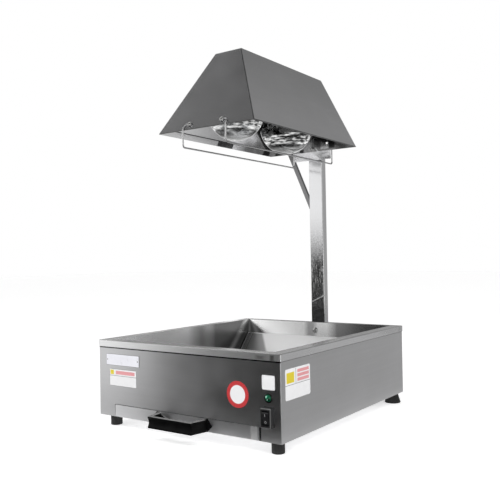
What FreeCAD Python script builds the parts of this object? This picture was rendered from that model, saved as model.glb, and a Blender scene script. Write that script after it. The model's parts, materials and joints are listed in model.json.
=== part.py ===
import FreeCAD, Part
import math
import os

# Chip warmer: a stainless steel base with a heated-from-above well and a crumb drawer,
# and a lamp hood on a post behind it. Millimetres, X to the right, Y to the back, Z up.
# Every piece is drawn about the middle of the base and moved once, when it is saved,
# so that the origin is under the middle of the whole object, on the surface it stands on.

V = FreeCAD.Vector

# Shared values
sheet = 1.2
seat_gap = 0.3
slide_gap = 0.5
hole_gap = 0.1
overrun = 5.0
weld_radius = 2.0

# Base
base_width = 470.0
base_depth = 552.0
base_height = 161.0
rim_proud = 1.5
rim_skirt = 13.8
rim_side = 25.0
rim_front = 20.0
rim_back = 17.0
bottom_flange = 45.0
rear_flange = 15.0

# Feet
foot_height = 24.0
foot_inset_x = 26.0
front_foot_inset_y = 27.0
rear_foot_inset_x = 21.0
rear_foot_inset_y = 20.0
front_foot_radius = 12.5
rear_foot_radius = 19.5
rear_foot_top_radius = 12.0
foot_edge = 1.5
foot_screw_radius = 3.0
foot_head_radius = 5.5
foot_head_height = 4.0
foot_head_recess = 3.0
foot_screw_stand = 8.0
foot_nut_flats = 10.0
foot_nut_height = 5.0

# Well and chip tray
well_floor_height = 38.0
well_fold_drop = 38.0
well_slope_degrees = 48.0
well_ledge = 15.0
tray_side_gap = 1.0
tray_lip = 7.0
tray_back_lip = 4.0
tray_front_lip = 14.0
window_share = 0.84
screen_sheet = 1.0
screen_overlap = 8.0
slot_length = 44.0
slot_width = 5.0
slot_columns = 6
slot_rows = 9

# Drawer and its runners
drawer_margin = 49.0
drawer_front_height = 25.4
drawer_gap = 1.2
drawer_corner = 3.0
drawer_length = 458.0
pan_drop = 2.1
pan_sheet = 1.0
runner_sheet = 1.2
runner_leg = 13.0
runner_foot_gap = 0.5
runner_length = 440.0
runner_setback = 4.0

# Drawer handle
handle_reach = 39.0
handle_bar_length = 111.0
handle_span = 152.0
handle_height = 23.0
handle_bar_depth = 9.0
handle_groove_depth = 3.5
handle_lip = 2.6
handle_leg_thickness = 7.0
handle_foot_thickness = 2.5
handle_foot_width = 40.0
handle_foot_peak_share = 0.42
handle_edge = 0.8
handle_screw_radius = 2.0
handle_screw_head_radius = 3.8
handle_screw_head_height = 2.2
handle_screw_depth = 12.0

# Switch and pilot lamp
switch_inset = 26.5
switch_bottom = 29.0
switch_width = 22.6
switch_height = 35.5
switch_stand = 15.0
switch_edge = 1.2
switch_body_depth = 11.0
switch_body_width = 18.0
switch_body_height = 27.0
rocker_width = 14.0
rocker_radius = 12.4
rocker_pivot_depth = 6.5
rocker_hollow = 1.6
rocker_tilt_degrees = 9.0
rocker_pin_radius = 1.5
rocker_pin_reach = 1.5
rocker_pin_gap = 0.05
rocker_gap = 0.5
pilot_offset = 2.0
pilot_rise = 15.5
pilot_lens_radius = 7.0
pilot_dome_height = 6.0
pilot_ring_radius = 8.6
pilot_ring_height = 2.2
pilot_barrel_radius = 5.5
pilot_barrel_depth = 11.0

# Cord gland and terminal block
gland_inset = 85.0
gland_height = 38.0
gland_bore_radius = 4.2
gland_thread_radius = 7.9
gland_flats = 22.0
gland_flange = 5.0
gland_nose = 8.0
gland_nose_radius = 8.6
gland_inside = 12.0
gland_nut_height = 5.0
terminal_offset = 80.0
terminal_width = 50.0
terminal_depth = 15.0
terminal_height = 20.0
terminal_lift = 48.0
terminal_ways = 3
terminal_screw_radius = 2.4
terminal_screw_depth = 3.0

# Post
post_width = 40.0
post_depth = 20.0
post_wall = 1.5
post_corner = 2.0
post_tail = 38.0
post_rise = 8.0
cap_thickness = 3.0
cap_insert = 10.0
post_bolt_radius = 4.0
post_bolt_drop = 21.0
post_bolt_pitch = 80.0
post_bolt_head_radius = 7.5
post_bolt_head_height = 4.5
post_bolt_flats = 13.0
post_bolt_nut_height = 6.0
post_bolt_stand = 1.0
sleeve_radius = 7.0
pad_height = 122.0

# Hood
hood_bottom = 630.3
hood_height = 180.9
hood_length = 448.1
hood_half_width = 128.1
hood_top_half_width = 35.8
hood_front_setback = 88.9
hood_rear_setback = 9.6
hood_post_gap = 16.9
hood_hem = 11.5

# Plate, spacer and brace that carry the hood on the post
head_plate_margin = 11.0
head_plate_drop = 21.3
head_plate_height = 85.0
head_plate_thickness = 2.0
head_spacer_rise = 13.0
head_bolt_rise = 29.0
head_bolt_pitch = 40.0
head_bolt_radius = 3.0
head_bolt_head_radius = 6.0
head_bolt_head_height = 3.5
head_nut_flats = 10.0
head_nut_height = 5.0
head_bolt_stand = 1.5
brace_width = 10.0
brace_drop = 169.5
brace_edge = 35.1
brace_rise = 33.7
brace_end = 9.0
standoff_radius = 6.0

# Lamps
lamp_front_setback = 113.0
lamp_rear_setback = 127.1
lamp_rear_drop = 6.0
lamp_rear_tilt_degrees = 9.0
lamp_radius = 62.5
lamp_dome = 50.0
lamp_glass = 1.5
bowl_height = 78.0
bowl_waist_radius_share = 0.82
bowl_waist_height_share = 0.48
lamp_neck_radius = 19.0
lamp_neck = 20.0
lamp_cap_radius = 13.2
lamp_cap = 27.0
cap_rib = 0.5
cap_ribs = 4
socket_radius = 20.5
socket_head = 9.0
socket_shoulder_radius = 16.5
socket_shoulder_share = 0.45
stem_radius = 4.5
stem_length = 45.0
filament_lead_radius = 0.8
filament_lead = 22.0
filament_radius = 11.0
filament_wire_radius = 1.1
filament_arc_degrees = 290.0
rail_hang = 7.0
rail_thickness = 2.0
rail_half_width = 17.0
rail_front_reach = 26.0
rail_rear_reach = 40.0
stud_radius = 4.0
stud_nut_flats = 10.0
stud_nut_height = 4.0
stud_thread_radius = 2.4
stud_offsets = (34.0, 150.0)

# Wire guards
guard_spread = 14.0
guard_wire = 1.75
guard_drop = 36.3
guard_bend = 6.0
guard_eye_x = 43.0
guard_eye_radius = 5.5
guard_eye_thickness = 2.4
guard_front_eye_rise = 11.7
guard_rear_eye_rise = 20.7
guard_screw_radius = 2.0
guard_screw_head_radius = 4.4
guard_screw_head_height = 2.6
guard_nut_flats = 7.5
guard_nut_height = 3.2
guard_screw_stand = 3.0

# Rivets along the rim skirt
rivet_inset_y = 100.3
rivet_drop = 10.8
rivet_radius = 2.0
rivet_head_radius = 3.2
rivet_head_height = 0.8

# Places worked out from the values above
base_x = base_width / 2
base_y = base_depth / 2
rim_z = foot_height + base_height
casing_x = base_x - rim_proud
casing_y = base_y - rim_proud
casing_top = rim_z - sheet
drawer_width = base_width - 2 * drawer_margin
pan_height = drawer_front_height - pan_drop - sheet - runner_sheet - seat_gap
switch_x = base_x - switch_inset
pilot_x = switch_x - pilot_offset
pilot_height = switch_bottom + switch_height + pilot_rise
gland_x = base_x - gland_inset
terminal_x = gland_x - terminal_offset
rivet_y = base_y - rivet_inset_y
well_x = base_x - rim_side
well_front = rim_front - base_y
well_back = base_y - rim_back
well_floor = foot_height + well_floor_height
well_fold = rim_z - well_fold_drop
well_slope = math.radians(well_slope_degrees)
slope_foot = well_back - (well_fold - well_floor) / math.tan(well_slope)
post_front = base_y
post_back = post_front + post_depth
post_bolt_heights = (rim_z - post_bolt_drop, rim_z - post_bolt_drop - post_bolt_pitch)
post_bottom = post_bolt_heights[1] - post_tail
hood_top = hood_bottom + hood_height
hood_rear_y = post_front - hood_post_gap
hood_front_y = hood_rear_y - hood_length
hood_middle_y = (hood_front_y + hood_rear_y) / 2
hood_top_front_y = hood_front_y + hood_front_setback
hood_top_rear_y = hood_rear_y - hood_rear_setback
side_lean = (hood_half_width - hood_top_half_width) / hood_height
front_lean = (hood_top_front_y - hood_front_y) / hood_height
rear_lean = (hood_rear_y - hood_top_rear_y) / hood_height
guard_x = guard_eye_x + guard_spread
guard_bottom = hood_bottom - guard_drop
guard_front_eye_z = hood_bottom + guard_front_eye_rise
guard_rear_eye_z = hood_bottom + guard_rear_eye_rise
head_plate_half_width = guard_eye_x + head_plate_margin
head_plate_bottom = hood_bottom - head_plate_drop
head_plate_top = head_plate_bottom + head_plate_height
head_spacer_bottom = head_plate_bottom + head_spacer_rise
head_bolt_low = head_plate_bottom + head_bolt_rise
head_bolt_heights = (head_bolt_low, head_bolt_low + head_bolt_pitch)
post_top = head_plate_top + post_rise
brace_top_x = brace_edge - hood_half_width
brace_top_z = hood_bottom + brace_rise
brace_foot_z = brace_top_z - brace_drop
lamp_reach = bowl_height + lamp_neck + lamp_cap + socket_head
rail_underside = hood_top - sheet - rail_hang - rail_thickness
lamp_front_y = hood_front_y + lamp_front_setback
lamp_front_z = rail_underside - lamp_reach
lamp_rear_y = hood_rear_y - lamp_rear_setback
lamp_rear_z = lamp_front_z - lamp_rear_drop
front_reach = casing_y + handle_reach
back_reach = post_back + post_bolt_nut_height + post_bolt_stand
origin_y = (back_reach - front_reach) / 2


def block(x0, x1, y0, y1, z0, z1):
    """Box between two corners."""
    return Part.makeBox(x1 - x0, y1 - y0, z1 - z0, V(x0, y0, z0))


def closed_wire(points):
    """Closed outline of straight edges."""
    return Part.makePolygon(points + [points[0]])


def prism_x(outline, x0, x1):
    """Outline of (y, z) points, carried along X."""
    wire = closed_wire([V(x0, y, z) for y, z in outline])
    return Part.Face(wire).extrude(V(x1 - x0, 0, 0))


def prism_y(outline, y0, y1):
    """Outline of (x, z) points, carried along Y."""
    wire = closed_wire([V(x, y0, z) for x, z in outline])
    return Part.Face(wire).extrude(V(0, y1 - y0, 0))


def rod(start, direction, radius, length):
    """Round bar from a point along a direction."""
    return Part.makeCylinder(radius, length, start, direction)


def hexagon(start, direction, flats, height):
    """Hexagonal bar, flats being the width across them."""
    corner = flats / math.sqrt(3)
    turns = [math.radians(60 * step) for step in range(6)]
    points = [V(corner * math.cos(turn), corner * math.sin(turn), 0) for turn in turns]
    bar = Part.Face(closed_wire(points)).extrude(V(0, 0, height))
    bar.Placement = FreeCAD.Placement(start, FreeCAD.Rotation(V(0, 0, 1), direction))
    return bar


def upright_edges(shape):
    """Edges that run straight up."""
    found = []
    for edge in shape.Edges:
        ends = [vertex.Point for vertex in edge.Vertexes]
        if len(ends) == 2 and (ends[0] - ends[1]).cross(V(0, 0, 1)).Length < hole_gap * hole_gap:
            found.append(edge)
    return found


def spin(edges):
    """Solid turned about the Z axis from edges that close on it."""
    return Part.Face(Part.Wire(edges)).revolve(V(0, 0, 0), V(0, 0, 1), 360)


def domed(radius, height):
    """Round cap: flat face on the origin, its top a height above, part of one sphere."""
    sphere_radius = (radius ** 2 + height ** 2) / (2 * height)
    half_angle = math.asin(radius / sphere_radius) / 2
    drop = height - sphere_radius
    middle = V(sphere_radius * math.sin(half_angle), 0, drop + sphere_radius * math.cos(half_angle))
    rim = V(radius, 0, 0)
    apex = V(0, 0, height)
    arc = Part.Arc(rim, middle, apex).toShape()
    axis = Part.LineSegment(apex, V(0, 0, 0)).toShape()
    base = Part.LineSegment(V(0, 0, 0), rim).toShape()
    return spin([arc, axis, base])


def pan_head(seat, outward, radius, height):
    """Domed screw or rivet head that sits on a seat and points outward."""
    head = domed(radius, height)
    head.Placement = FreeCAD.Placement(seat, FreeCAD.Rotation(V(0, 0, 1), outward))
    return head


def screw(seat, inward, shank_radius, length, head_radius, head_height):
    """Screw with its head on the seat and its shank going inward."""
    shank = rod(seat, inward, shank_radius, length)
    return shank.fuse(pan_head(seat, inward * -1, head_radius, head_height)).removeSplitter()


def nut(seat, outward, flats, height, shank_radius):
    """Hexagonal nut on a shank."""
    blank = hexagon(seat, outward, flats, height)
    bore = rod(seat - outward * overrun, outward, shank_radius + hole_gap, height + 2 * overrun)
    return blank.cut(bore)


def bent_rod(points, bend, radius):
    """Round wire along straight runs joined by arcs of one bend radius."""
    edges = []
    here = points[0]
    for before, corner, after in zip(points, points[1:], points[2:]):
        back = (before - corner).normalize()
        on = (after - corner).normalize()
        half_turn = (math.pi - back.getAngle(on)) / 2
        tangent = bend * math.tan(half_turn)
        middle = (back + on).normalize() * (bend / math.cos(half_turn) - bend)
        start = corner + back * tangent
        end = corner + on * tangent
        edges.append(Part.LineSegment(here, start).toShape())
        edges.append(Part.Arc(start, corner + middle, end).toShape())
        here = end
    edges.append(Part.LineSegment(here, points[-1]).toShape())
    path = Part.Wire(edges)
    profile = Part.Wire([Part.Circle(points[0], points[1] - points[0], radius).toShape()])
    return path.makePipeShell([profile], True, False)


def save(name, solids):
    """Write one node, moved so that the origin is under the middle of the object."""
    solids = [solid.removeSplitter() for solid in solids]
    for solid in solids:
        solid.translate(V(0, -origin_y, 0))
    shape = solids[0] if len(solids) == 1 else Part.makeCompound(solids)
    bad = not shape.isValid()
    count = sum(len(solid.Solids) for solid in solids)
    print(f"{name:22s} solids {count:2d} volume {shape.Volume:12.1f} {'NOT VALID' if bad else ''}")
    shape.exportStep(f"parts/{name}.step")


def well_outline(gap, top):
    """Side view of the well, drawn in from its walls by a gap: floor, back slope and back band."""
    lift = gap / math.cos(well_slope)
    foot = slope_foot - (lift - gap) / math.tan(well_slope)
    fold = well_floor + (well_back - gap - slope_foot) * math.tan(well_slope) + lift
    floor = well_floor + gap
    front = well_front + gap
    back = well_back - gap
    return [(front, top), (front, floor), (foot, floor), (back, fold), (back, top)]


def make_casing():
    """Folded wrap of front and sides, with bottom flanges for the feet and the drawer runners."""
    shell = block(-casing_x, casing_x, -casing_y, casing_y, foot_height, casing_top)
    front_corners = [edge for edge in upright_edges(shell) if edge.BoundBox.YMax < 0]
    shell = shell.makeFillet(weld_radius, front_corners)
    inner_x = casing_x - sheet
    inner_y = casing_y - sheet
    shell = shell.cut(block(-inner_x, inner_x, -inner_y, casing_y + overrun, foot_height + sheet, rim_z))
    way = casing_x - bottom_flange
    shell = shell.cut(block(-way, way, -inner_y, casing_y + overrun, foot_height - overrun, rim_z))
    notch_x = drawer_width / 2 + drawer_gap
    notch_top = foot_height + drawer_front_height + drawer_gap
    notch = block(-notch_x, notch_x, -casing_y - overrun, -inner_y + overrun, 0, notch_top)
    notch = notch.makeFillet(drawer_corner + drawer_gap, [
        edge for edge in notch.Edges
        if edge.BoundBox.ZMin > foot_height and edge.BoundBox.XLength < hole_gap])
    shell = shell.cut(notch)
    front = V(0, -casing_y - overrun, 0)
    inward = V(0, 1, 0)
    pilot_centre = V(pilot_x, front.y, foot_height + pilot_height)
    shell = shell.cut(rod(pilot_centre, inward, pilot_barrel_radius + hole_gap, 3 * overrun))
    half = switch_body_width / 2 + hole_gap
    low = foot_height + switch_bottom + (switch_height - switch_body_height) / 2 - hole_gap
    high = low + switch_body_height + 2 * hole_gap
    shell = shell.cut(block(switch_x - half, switch_x + half, front.y, -inner_y + overrun, low, high))
    for x, y in foot_places():
        shell = shell.cut(rod(V(x, y, 0), V(0, 0, 1), foot_screw_radius + hole_gap, rim_z / 2))
    for side, y in rivet_places():
        start = V(side * (base_x + overrun), y, rim_z - rivet_drop)
        shell = shell.cut(rod(start, V(-side, 0, 0), rivet_radius + hole_gap, 2 * overrun + rim_side / 2))
    return shell


def make_rear_panel():
    """Rear sheet with flanges that lie against the sides, bored for the gland and the post bolts."""
    inner_x = casing_x - sheet
    rear = block(-inner_x, inner_x, casing_y - sheet, casing_y, foot_height + sheet, casing_top)
    for side in (-1, 1):
        edges = sorted((side * (inner_x - sheet), side * inner_x))
        rear = rear.fuse(block(edges[0], edges[1], casing_y - sheet - rear_flange, casing_y - sheet,
                               foot_height + sheet, casing_top - rim_skirt))
    for height in post_bolt_heights:
        start = V(0, casing_y - overrun, height)
        rear = rear.cut(rod(start, V(0, 1, 0), post_bolt_radius + hole_gap, 2 * overrun))
    start = V(gland_x, casing_y - overrun, foot_height + gland_height)
    return rear.cut(rod(start, V(0, 1, 0), gland_thread_radius + hole_gap, 2 * overrun))


def mitred_sheets(inner, outer, half_x):
    """Sheets between two outlines of the well, one for each side of the outline, mitred at the folds."""
    sheets = []
    for step in range(len(inner) - 1):
        corners = [inner[step], inner[step + 1], outer[step + 1], outer[step]]
        sheets.append(prism_x(corners, -half_x, half_x))
    return sheets


def make_rim_strips():
    """Flat rim of the well with rounded edges and a skirt over the casing, welded of four strips."""
    outer = block(-base_x, base_x, -base_y, base_y, rim_z - rim_skirt, rim_z)
    outer = outer.makeFillet(weld_radius, upright_edges(outer))
    top_edges = [edge for edge in outer.Edges if edge.BoundBox.ZMin > rim_z - hole_gap]
    outer = outer.makeFillet(weld_radius, top_edges)
    inner_x = base_x - sheet
    inner_y = base_y - sheet
    hollow = block(-inner_x, inner_x, -inner_y, inner_y, rim_z - rim_skirt - overrun, rim_z - sheet)
    hollow = hollow.makeFillet(weld_radius - sheet, upright_edges(hollow))
    rim = outer.cut(hollow)
    for side, y in rivet_places():
        start = V(side * (base_x + overrun), y, rim_z - rivet_drop)
        rim = rim.cut(rod(start, V(-side, 0, 0), rivet_radius + hole_gap, 2 * overrun))
    low = rim_z - rim_skirt
    fields = [(-base_x, base_x, -base_y, well_front), (-base_x, base_x, well_back, base_y),
              (-base_x, -well_x, well_front, well_back), (well_x, base_x, well_front, well_back)]
    return [rim.common(block(*field, low, rim_z)) for field in fields]


def make_well_liner():
    """Welded well: rim, two sides, front, floor with a drain, back slope and back band."""
    top = rim_z - sheet
    inner = well_outline(0, top)
    outer = well_outline(-sheet, top)
    front, floor, slope, band = mitred_sheets(inner, outer, well_x)
    drain_x = well_x - well_ledge
    drain = block(-drain_x, drain_x, well_front + well_ledge, slope_foot - well_ledge,
                  well_floor - 2 * overrun, well_floor + overrun)
    floor = floor.cut(drain)
    bolt_start = V(0, well_back - overrun, post_bolt_heights[0])
    band = band.cut(rod(bolt_start, V(0, 1, 0), post_bolt_radius + hole_gap, 2 * overrun))
    sides = [prism_x(outer, side * well_x, side * (well_x + sheet)) for side in (-1, 1)]
    return [*make_rim_strips(), *sides, front, floor, slope, band]


def screen_field():
    """Half width, front and depth of the window in the tray's floor."""
    half_x = (well_x - tray_side_gap) * window_share
    depth = (slope_foot - well_front) * window_share
    return half_x, (slope_foot + well_front - depth) / 2, depth


def make_chip_tray():
    """Lift-out tray: framed floor, front lip, sloped back sheet and low lips along the walls."""
    tray_x = well_x - tray_side_gap
    front_top = well_floor + tray_front_lip
    back_top = well_fold + tray_back_lip
    inner_gap = seat_gap + sheet
    inner = well_outline(inner_gap, back_top)
    outer = well_outline(seat_gap, back_top)
    inner[0] = (inner[0][0], front_top)
    outer[0] = (outer[0][0], front_top)
    front, floor, slope, back = mitred_sheets(inner, outer, tray_x - sheet)
    half_x, first_y, depth = screen_field()
    floor = floor.cut(block(-half_x, half_x, first_y, first_y + depth, 0, front_top))
    above = prism_x(well_outline(inner_gap + tray_lip, rim_z), -base_x, base_x)
    front_room = block(-base_x, base_x, -base_y, 0, front_top, rim_z)
    lips = []
    for side in (-1, 1):
        strip = prism_x(well_outline(seat_gap, back_top), side * (tray_x - sheet), side * tray_x)
        lips.append(strip.cut(above).cut(front_room))
    return [front, floor, slope, back, *lips]


def make_tray_screen():
    """Slotted sheet that lies over the window in the tray's floor and lets the crumbs through."""
    half_x, first_y, depth = screen_field()
    low = well_floor + seat_gap + sheet
    screen = block(-half_x - screen_overlap, half_x + screen_overlap, first_y - screen_overlap,
                   first_y + depth + screen_overlap, low, low + screen_sheet)
    pitch_x = 2 * half_x / slot_columns
    pitch_y = depth / slot_rows
    slots = []
    for column in range(slot_columns):
        centre_x = (column - (slot_columns - 1) / 2) * pitch_x
        for row in range(slot_rows):
            slots.append(slot(centre_x, first_y + (row + 1 / 2) * pitch_y))
    return screen.cut(Part.makeCompound(slots))


def slot(x, y):
    """Cutter for one slot in the tray's screen."""
    reach = (slot_length - slot_width) / 2
    radius = slot_width / 2
    bottom = well_floor - overrun
    height = 2 * overrun
    cutter = block(x - reach, x + reach, y - radius, y + radius, bottom, bottom + height)
    for side in (-1, 1):
        cutter = cutter.fuse(rod(V(x + side * reach, y, bottom), V(0, 0, 1), radius, height))
    return cutter


def make_drawer_tray():
    """Shallow crumb pan that slides between the runners: floor, sides, front and back."""
    pan_x = drawer_width / 2 - runner_sheet - slide_gap
    bottom = foot_height + sheet + runner_sheet + seat_gap
    top = bottom + pan_height
    low = bottom + pan_sheet
    front = -casing_y + sheet
    back = front + drawer_length
    inner_x = pan_x - pan_sheet
    floor = block(-pan_x, pan_x, front, back, bottom, low)
    sides = [block(-pan_x, -inner_x, front, back, low, top), block(inner_x, pan_x, front, back, low, top)]
    front_wall = block(-inner_x, inner_x, front, front + pan_sheet, low, top)
    front_wall = cut_handle_holes(front_wall, handle_screw_head_radius + hole_gap, front, pan_sheet)
    back_wall = block(-inner_x, inner_x, back - pan_sheet, back, low, top)
    return [floor, *sides, front_wall, back_wall]


def cut_handle_holes(panel, radius, front, thickness):
    """Holes for the two handle screws in an upright sheet."""
    for start in handle_screw_places(front - overrun):
        panel = panel.cut(rod(start, V(0, 1, 0), radius, thickness + overrun + hole_gap))
    return panel


def make_drawer_front():
    """Flat front plate of the drawer, with rounded upper corners."""
    half = drawer_width / 2
    low = foot_height + seat_gap
    high = foot_height + drawer_front_height
    plate = block(-half, half, -casing_y, -casing_y + sheet, low, high)
    corners = [edge for edge in plate.Edges
               if edge.BoundBox.ZMin > high - hole_gap and edge.BoundBox.XLength < hole_gap]
    plate = plate.makeFillet(drawer_corner, corners)
    return cut_handle_holes(plate, handle_screw_radius + hole_gap, -casing_y, sheet)


def handle_middle_z():
    """Height of the middle of the handle."""
    return foot_height + handle_height / 2 + seat_gap


def handle_screw_places(y):
    """Axes of the two handle screws at a given depth."""
    x = (handle_span - handle_foot_width) / 2
    return [V(side * x, y, handle_middle_z()) for side in (-1, 1)]


def make_drawer_handle():
    """Moulded pull: grooved front bar, splayed legs and pointed feet, in one piece."""
    middle = handle_middle_z()
    low = middle - handle_height / 2
    high = middle + handle_height / 2
    face = -casing_y - handle_reach
    back = face + handle_bar_depth
    bar_x = handle_bar_length / 2
    bar = block(-bar_x, bar_x, face, back, low, high)
    bar = bar.makeFillet(handle_edge, [edge for edge in bar.Edges if edge.BoundBox.YLength < hole_gap])
    groove_half = handle_height / 2 - handle_lip
    groove_radius = (groove_half ** 2 + handle_groove_depth ** 2) / (2 * handle_groove_depth)
    groove_start = V(-bar_x - overrun, face + handle_groove_depth - groove_radius, middle)
    bar = bar.cut(rod(groove_start, V(1, 0, 0), groove_radius, handle_bar_length + 2 * overrun))
    foot_face = -casing_y - handle_foot_thickness
    handle = bar
    for side in (-1, 1):
        foot_x = side * (handle_span - handle_foot_width) / 2
        leg_out = side * handle_leg_thickness
        leg_top = side * bar_x
        outline = [V(leg_top, back, low), V(leg_top - leg_out, back, low),
                   V(foot_x - leg_out / 2, foot_face, low), V(foot_x + leg_out, foot_face, low)]
        leg = Part.Face(closed_wire(outline)).extrude(V(0, 0, handle_height))
        front_half = [V(leg_top, face + handle_groove_depth, low), V(leg_top, back, low),
                      V(foot_x + leg_out, foot_face, low)]
        leg = leg.fuse(Part.Face(closed_wire(front_half)).extrude(V(0, 0, handle_height)))
        half_foot = handle_foot_width / 2
        peak = middle + handle_height / 2 + handle_lip
        dip = middle - handle_height / 2
        tip = foot_x + side * half_foot
        heel = foot_x - side * half_foot
        peak_x = foot_x + side * handle_foot_peak_share * half_foot
        diamond = [(tip, middle), (peak_x, peak), (heel, middle), (peak_x, dip)]
        handle = handle.fuse(leg).fuse(prism_y(diamond, foot_face, -casing_y))
    for start in handle_screw_places(-casing_y):
        depth = handle_screw_depth + hole_gap
        handle = handle.cut(rod(start, V(0, -1, 0), handle_screw_radius + hole_gap, depth))
    return handle.removeSplitter()


def make_handle_screws():
    """Two screws put in from inside the drawer."""
    seat_y = -casing_y + sheet
    length = sheet + handle_screw_depth
    return [screw(seat, V(0, -1, 0), handle_screw_radius, length,
                  handle_screw_head_radius, handle_screw_head_height)
            for seat in handle_screw_places(seat_y)]


def make_runner(side):
    """Channel that carries one edge of the crumb pan, with a foot on the casing's bottom flange."""
    web = drawer_width / 2 - runner_sheet
    low = foot_height + sheet
    high = low + runner_sheet + seat_gap + pan_height + slide_gap + runner_sheet
    lip = web - runner_leg
    foot = base_x - foot_inset_x - foot_nut_flats / math.sqrt(3) - runner_foot_gap
    outline = [(lip, low), (foot, low), (foot, low + runner_sheet),
               (web + runner_sheet, low + runner_sheet), (web + runner_sheet, high), (lip, high),
               (lip, high - runner_sheet), (web, high - runner_sheet),
               (web, low + runner_sheet), (lip, low + runner_sheet)]
    outline = [(side * x, z) for x, z in outline]
    start = -casing_y + sheet + runner_setback
    return prism_y(outline, start, start + runner_length)


def foot_places():
    """Middles of the four feet: front left, front right, rear left, rear right."""
    front_x = base_x - foot_inset_x
    front_y = front_foot_inset_y - base_y
    rear_x = base_x - rear_foot_inset_x
    rear_y = base_y - rear_foot_inset_y
    return [(-front_x, front_y), (front_x, front_y), (-rear_x, rear_y), (rear_x, rear_y)]


def make_foot(place, bottom_radius, top_radius):
    """Rubber foot with a recess below for its screw."""
    x, y = place
    if bottom_radius == top_radius:
        foot = rod(V(x, y, 0), V(0, 0, 1), bottom_radius, foot_height)
    else:
        foot = Part.makeCone(bottom_radius, top_radius, foot_height, V(x, y, 0), V(0, 0, 1))
    rims = [edge for edge in foot.Edges if edge.BoundBox.ZLength < hole_gap]
    foot = foot.makeFillet(foot_edge, rims)
    foot = foot.cut(rod(V(x, y, 0), V(0, 0, 1), foot_screw_radius + hole_gap, foot_height))
    recess = foot_head_recess + foot_head_height
    return foot.cut(rod(V(x, y, 0), V(0, 0, 1), foot_head_radius + seat_gap, recess))


def make_foot_screws():
    """One screw up through each foot and the bottom flange."""
    seat_z = foot_head_recess + foot_head_height
    length = foot_height - seat_z + sheet + foot_screw_stand
    return [screw(V(x, y, seat_z), V(0, 0, 1), foot_screw_radius, length,
                  foot_head_radius, foot_head_height) for x, y in foot_places()]


def make_foot_nuts():
    """Nuts on top of the bottom flange."""
    seat_z = foot_height + sheet
    return [nut(V(x, y, seat_z), V(0, 0, 1), foot_nut_flats, foot_nut_height, foot_screw_radius)
            for x, y in foot_places()]


def switch_middle():
    """Point on the casing's front face behind the middle of the switch."""
    return V(switch_x, -casing_y, foot_height + switch_bottom + switch_height / 2)


def rocker_pivot():
    """Point on the rocker's pin."""
    return switch_middle() + V(0, rocker_pivot_depth - switch_stand, 0)


def make_switch_bezel():
    """Raised box round the rocker, open at the front and the back."""
    middle = switch_middle()
    half = switch_width / 2
    tall = switch_height / 2
    front = middle.y - switch_stand
    box = block(middle.x - half, middle.x + half, front, middle.y, middle.z - tall, middle.z + tall)
    outer_edges = [edge for edge in box.Edges if edge.BoundBox.YMin < middle.y - hole_gap]
    box = box.makeFillet(switch_edge, outer_edges)
    window = rocker_width / 2 + rocker_gap
    reach = rocker_radius + rocker_gap
    box = box.cut(block(middle.x - window, middle.x + window, front - overrun, middle.y + overrun,
                        middle.z - reach, middle.z + reach))
    pin_length = rocker_width + 2 * (rocker_pin_reach + rocker_gap)
    pin_start = rocker_pivot() - V(pin_length / 2, 0, 0)
    return box.cut(rod(pin_start, V(1, 0, 0), rocker_pin_radius + rocker_pin_gap, pin_length))


def make_switch_rocker():
    """Rocker: a drum with a dished front and a pin through it, resting with its upper half out."""
    pivot = rocker_pivot()
    half = rocker_width / 2
    drum = rod(pivot - V(half, 0, 0), V(1, 0, 0), rocker_radius, rocker_width)
    face = switch_stand - rocker_pivot_depth
    front = -rocker_pivot_depth - rocker_hollow
    notch = [(pivot.y + front - rocker_radius, pivot.z - 2 * rocker_radius),
             (pivot.y + front, pivot.z - 2 * rocker_radius),
             (pivot.y + front + rocker_hollow, pivot.z), (pivot.y + front, pivot.z + 2 * rocker_radius),
             (pivot.y + front - rocker_radius, pivot.z + 2 * rocker_radius)]
    rocker = drum.cut(prism_x(notch, pivot.x - rocker_width, pivot.x + rocker_width))
    behind = block(pivot.x - rocker_width, pivot.x + rocker_width, pivot.y + face / 2,
                   pivot.y + 2 * rocker_radius, pivot.z - 2 * rocker_radius, pivot.z + 2 * rocker_radius)
    rocker = rocker.cut(behind)
    pin_length = rocker_width + 2 * rocker_pin_reach
    rocker = rocker.fuse(rod(pivot - V(pin_length / 2, 0, 0), V(1, 0, 0), rocker_pin_radius, pin_length))
    rocker.rotate(pivot, V(1, 0, 0), rocker_tilt_degrees)
    return rocker


def make_switch_body():
    """Contact block behind the panel, with its terminals."""
    middle = switch_middle()
    half = switch_body_width / 2
    tall = switch_body_height / 2
    body = block(middle.x - half, middle.x + half, middle.y, middle.y + switch_body_depth,
                 middle.z - tall, middle.z + tall)
    window = rocker_width / 2 + rocker_gap
    reach = rocker_radius - rocker_gap
    recess = switch_body_depth / 3
    return body.cut(block(middle.x - window, middle.x + window, middle.y - overrun, middle.y + recess,
                          middle.z - reach, middle.z + reach))


def pilot_middle():
    """Point on the casing's front face in the middle of the pilot lamp."""
    return V(pilot_x, -casing_y, foot_height + pilot_height)


def make_pilot_ring():
    """Ring that holds the pilot lens."""
    centre = pilot_middle()
    out = V(0, -1, 0)
    ring = rod(centre, out, pilot_ring_radius, pilot_ring_height)
    ring = ring.makeFillet(pilot_ring_height / 2, [
        edge for edge in ring.Edges
        if edge.BoundBox.YMax < centre.y - hole_gap and edge.BoundBox.YLength < hole_gap])
    return ring.cut(rod(centre, out, pilot_lens_radius + hole_gap, pilot_ring_height))


def make_pilot_lens():
    """Domed lens of the pilot lamp."""
    centre = pilot_middle()
    return pan_head(centre, V(0, -1, 0), pilot_lens_radius, pilot_dome_height)


def make_pilot_barrel():
    """Barrel of the pilot lamp, through the panel."""
    return rod(pilot_middle(), V(0, 1, 0), pilot_barrel_radius, pilot_barrel_depth)


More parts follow.
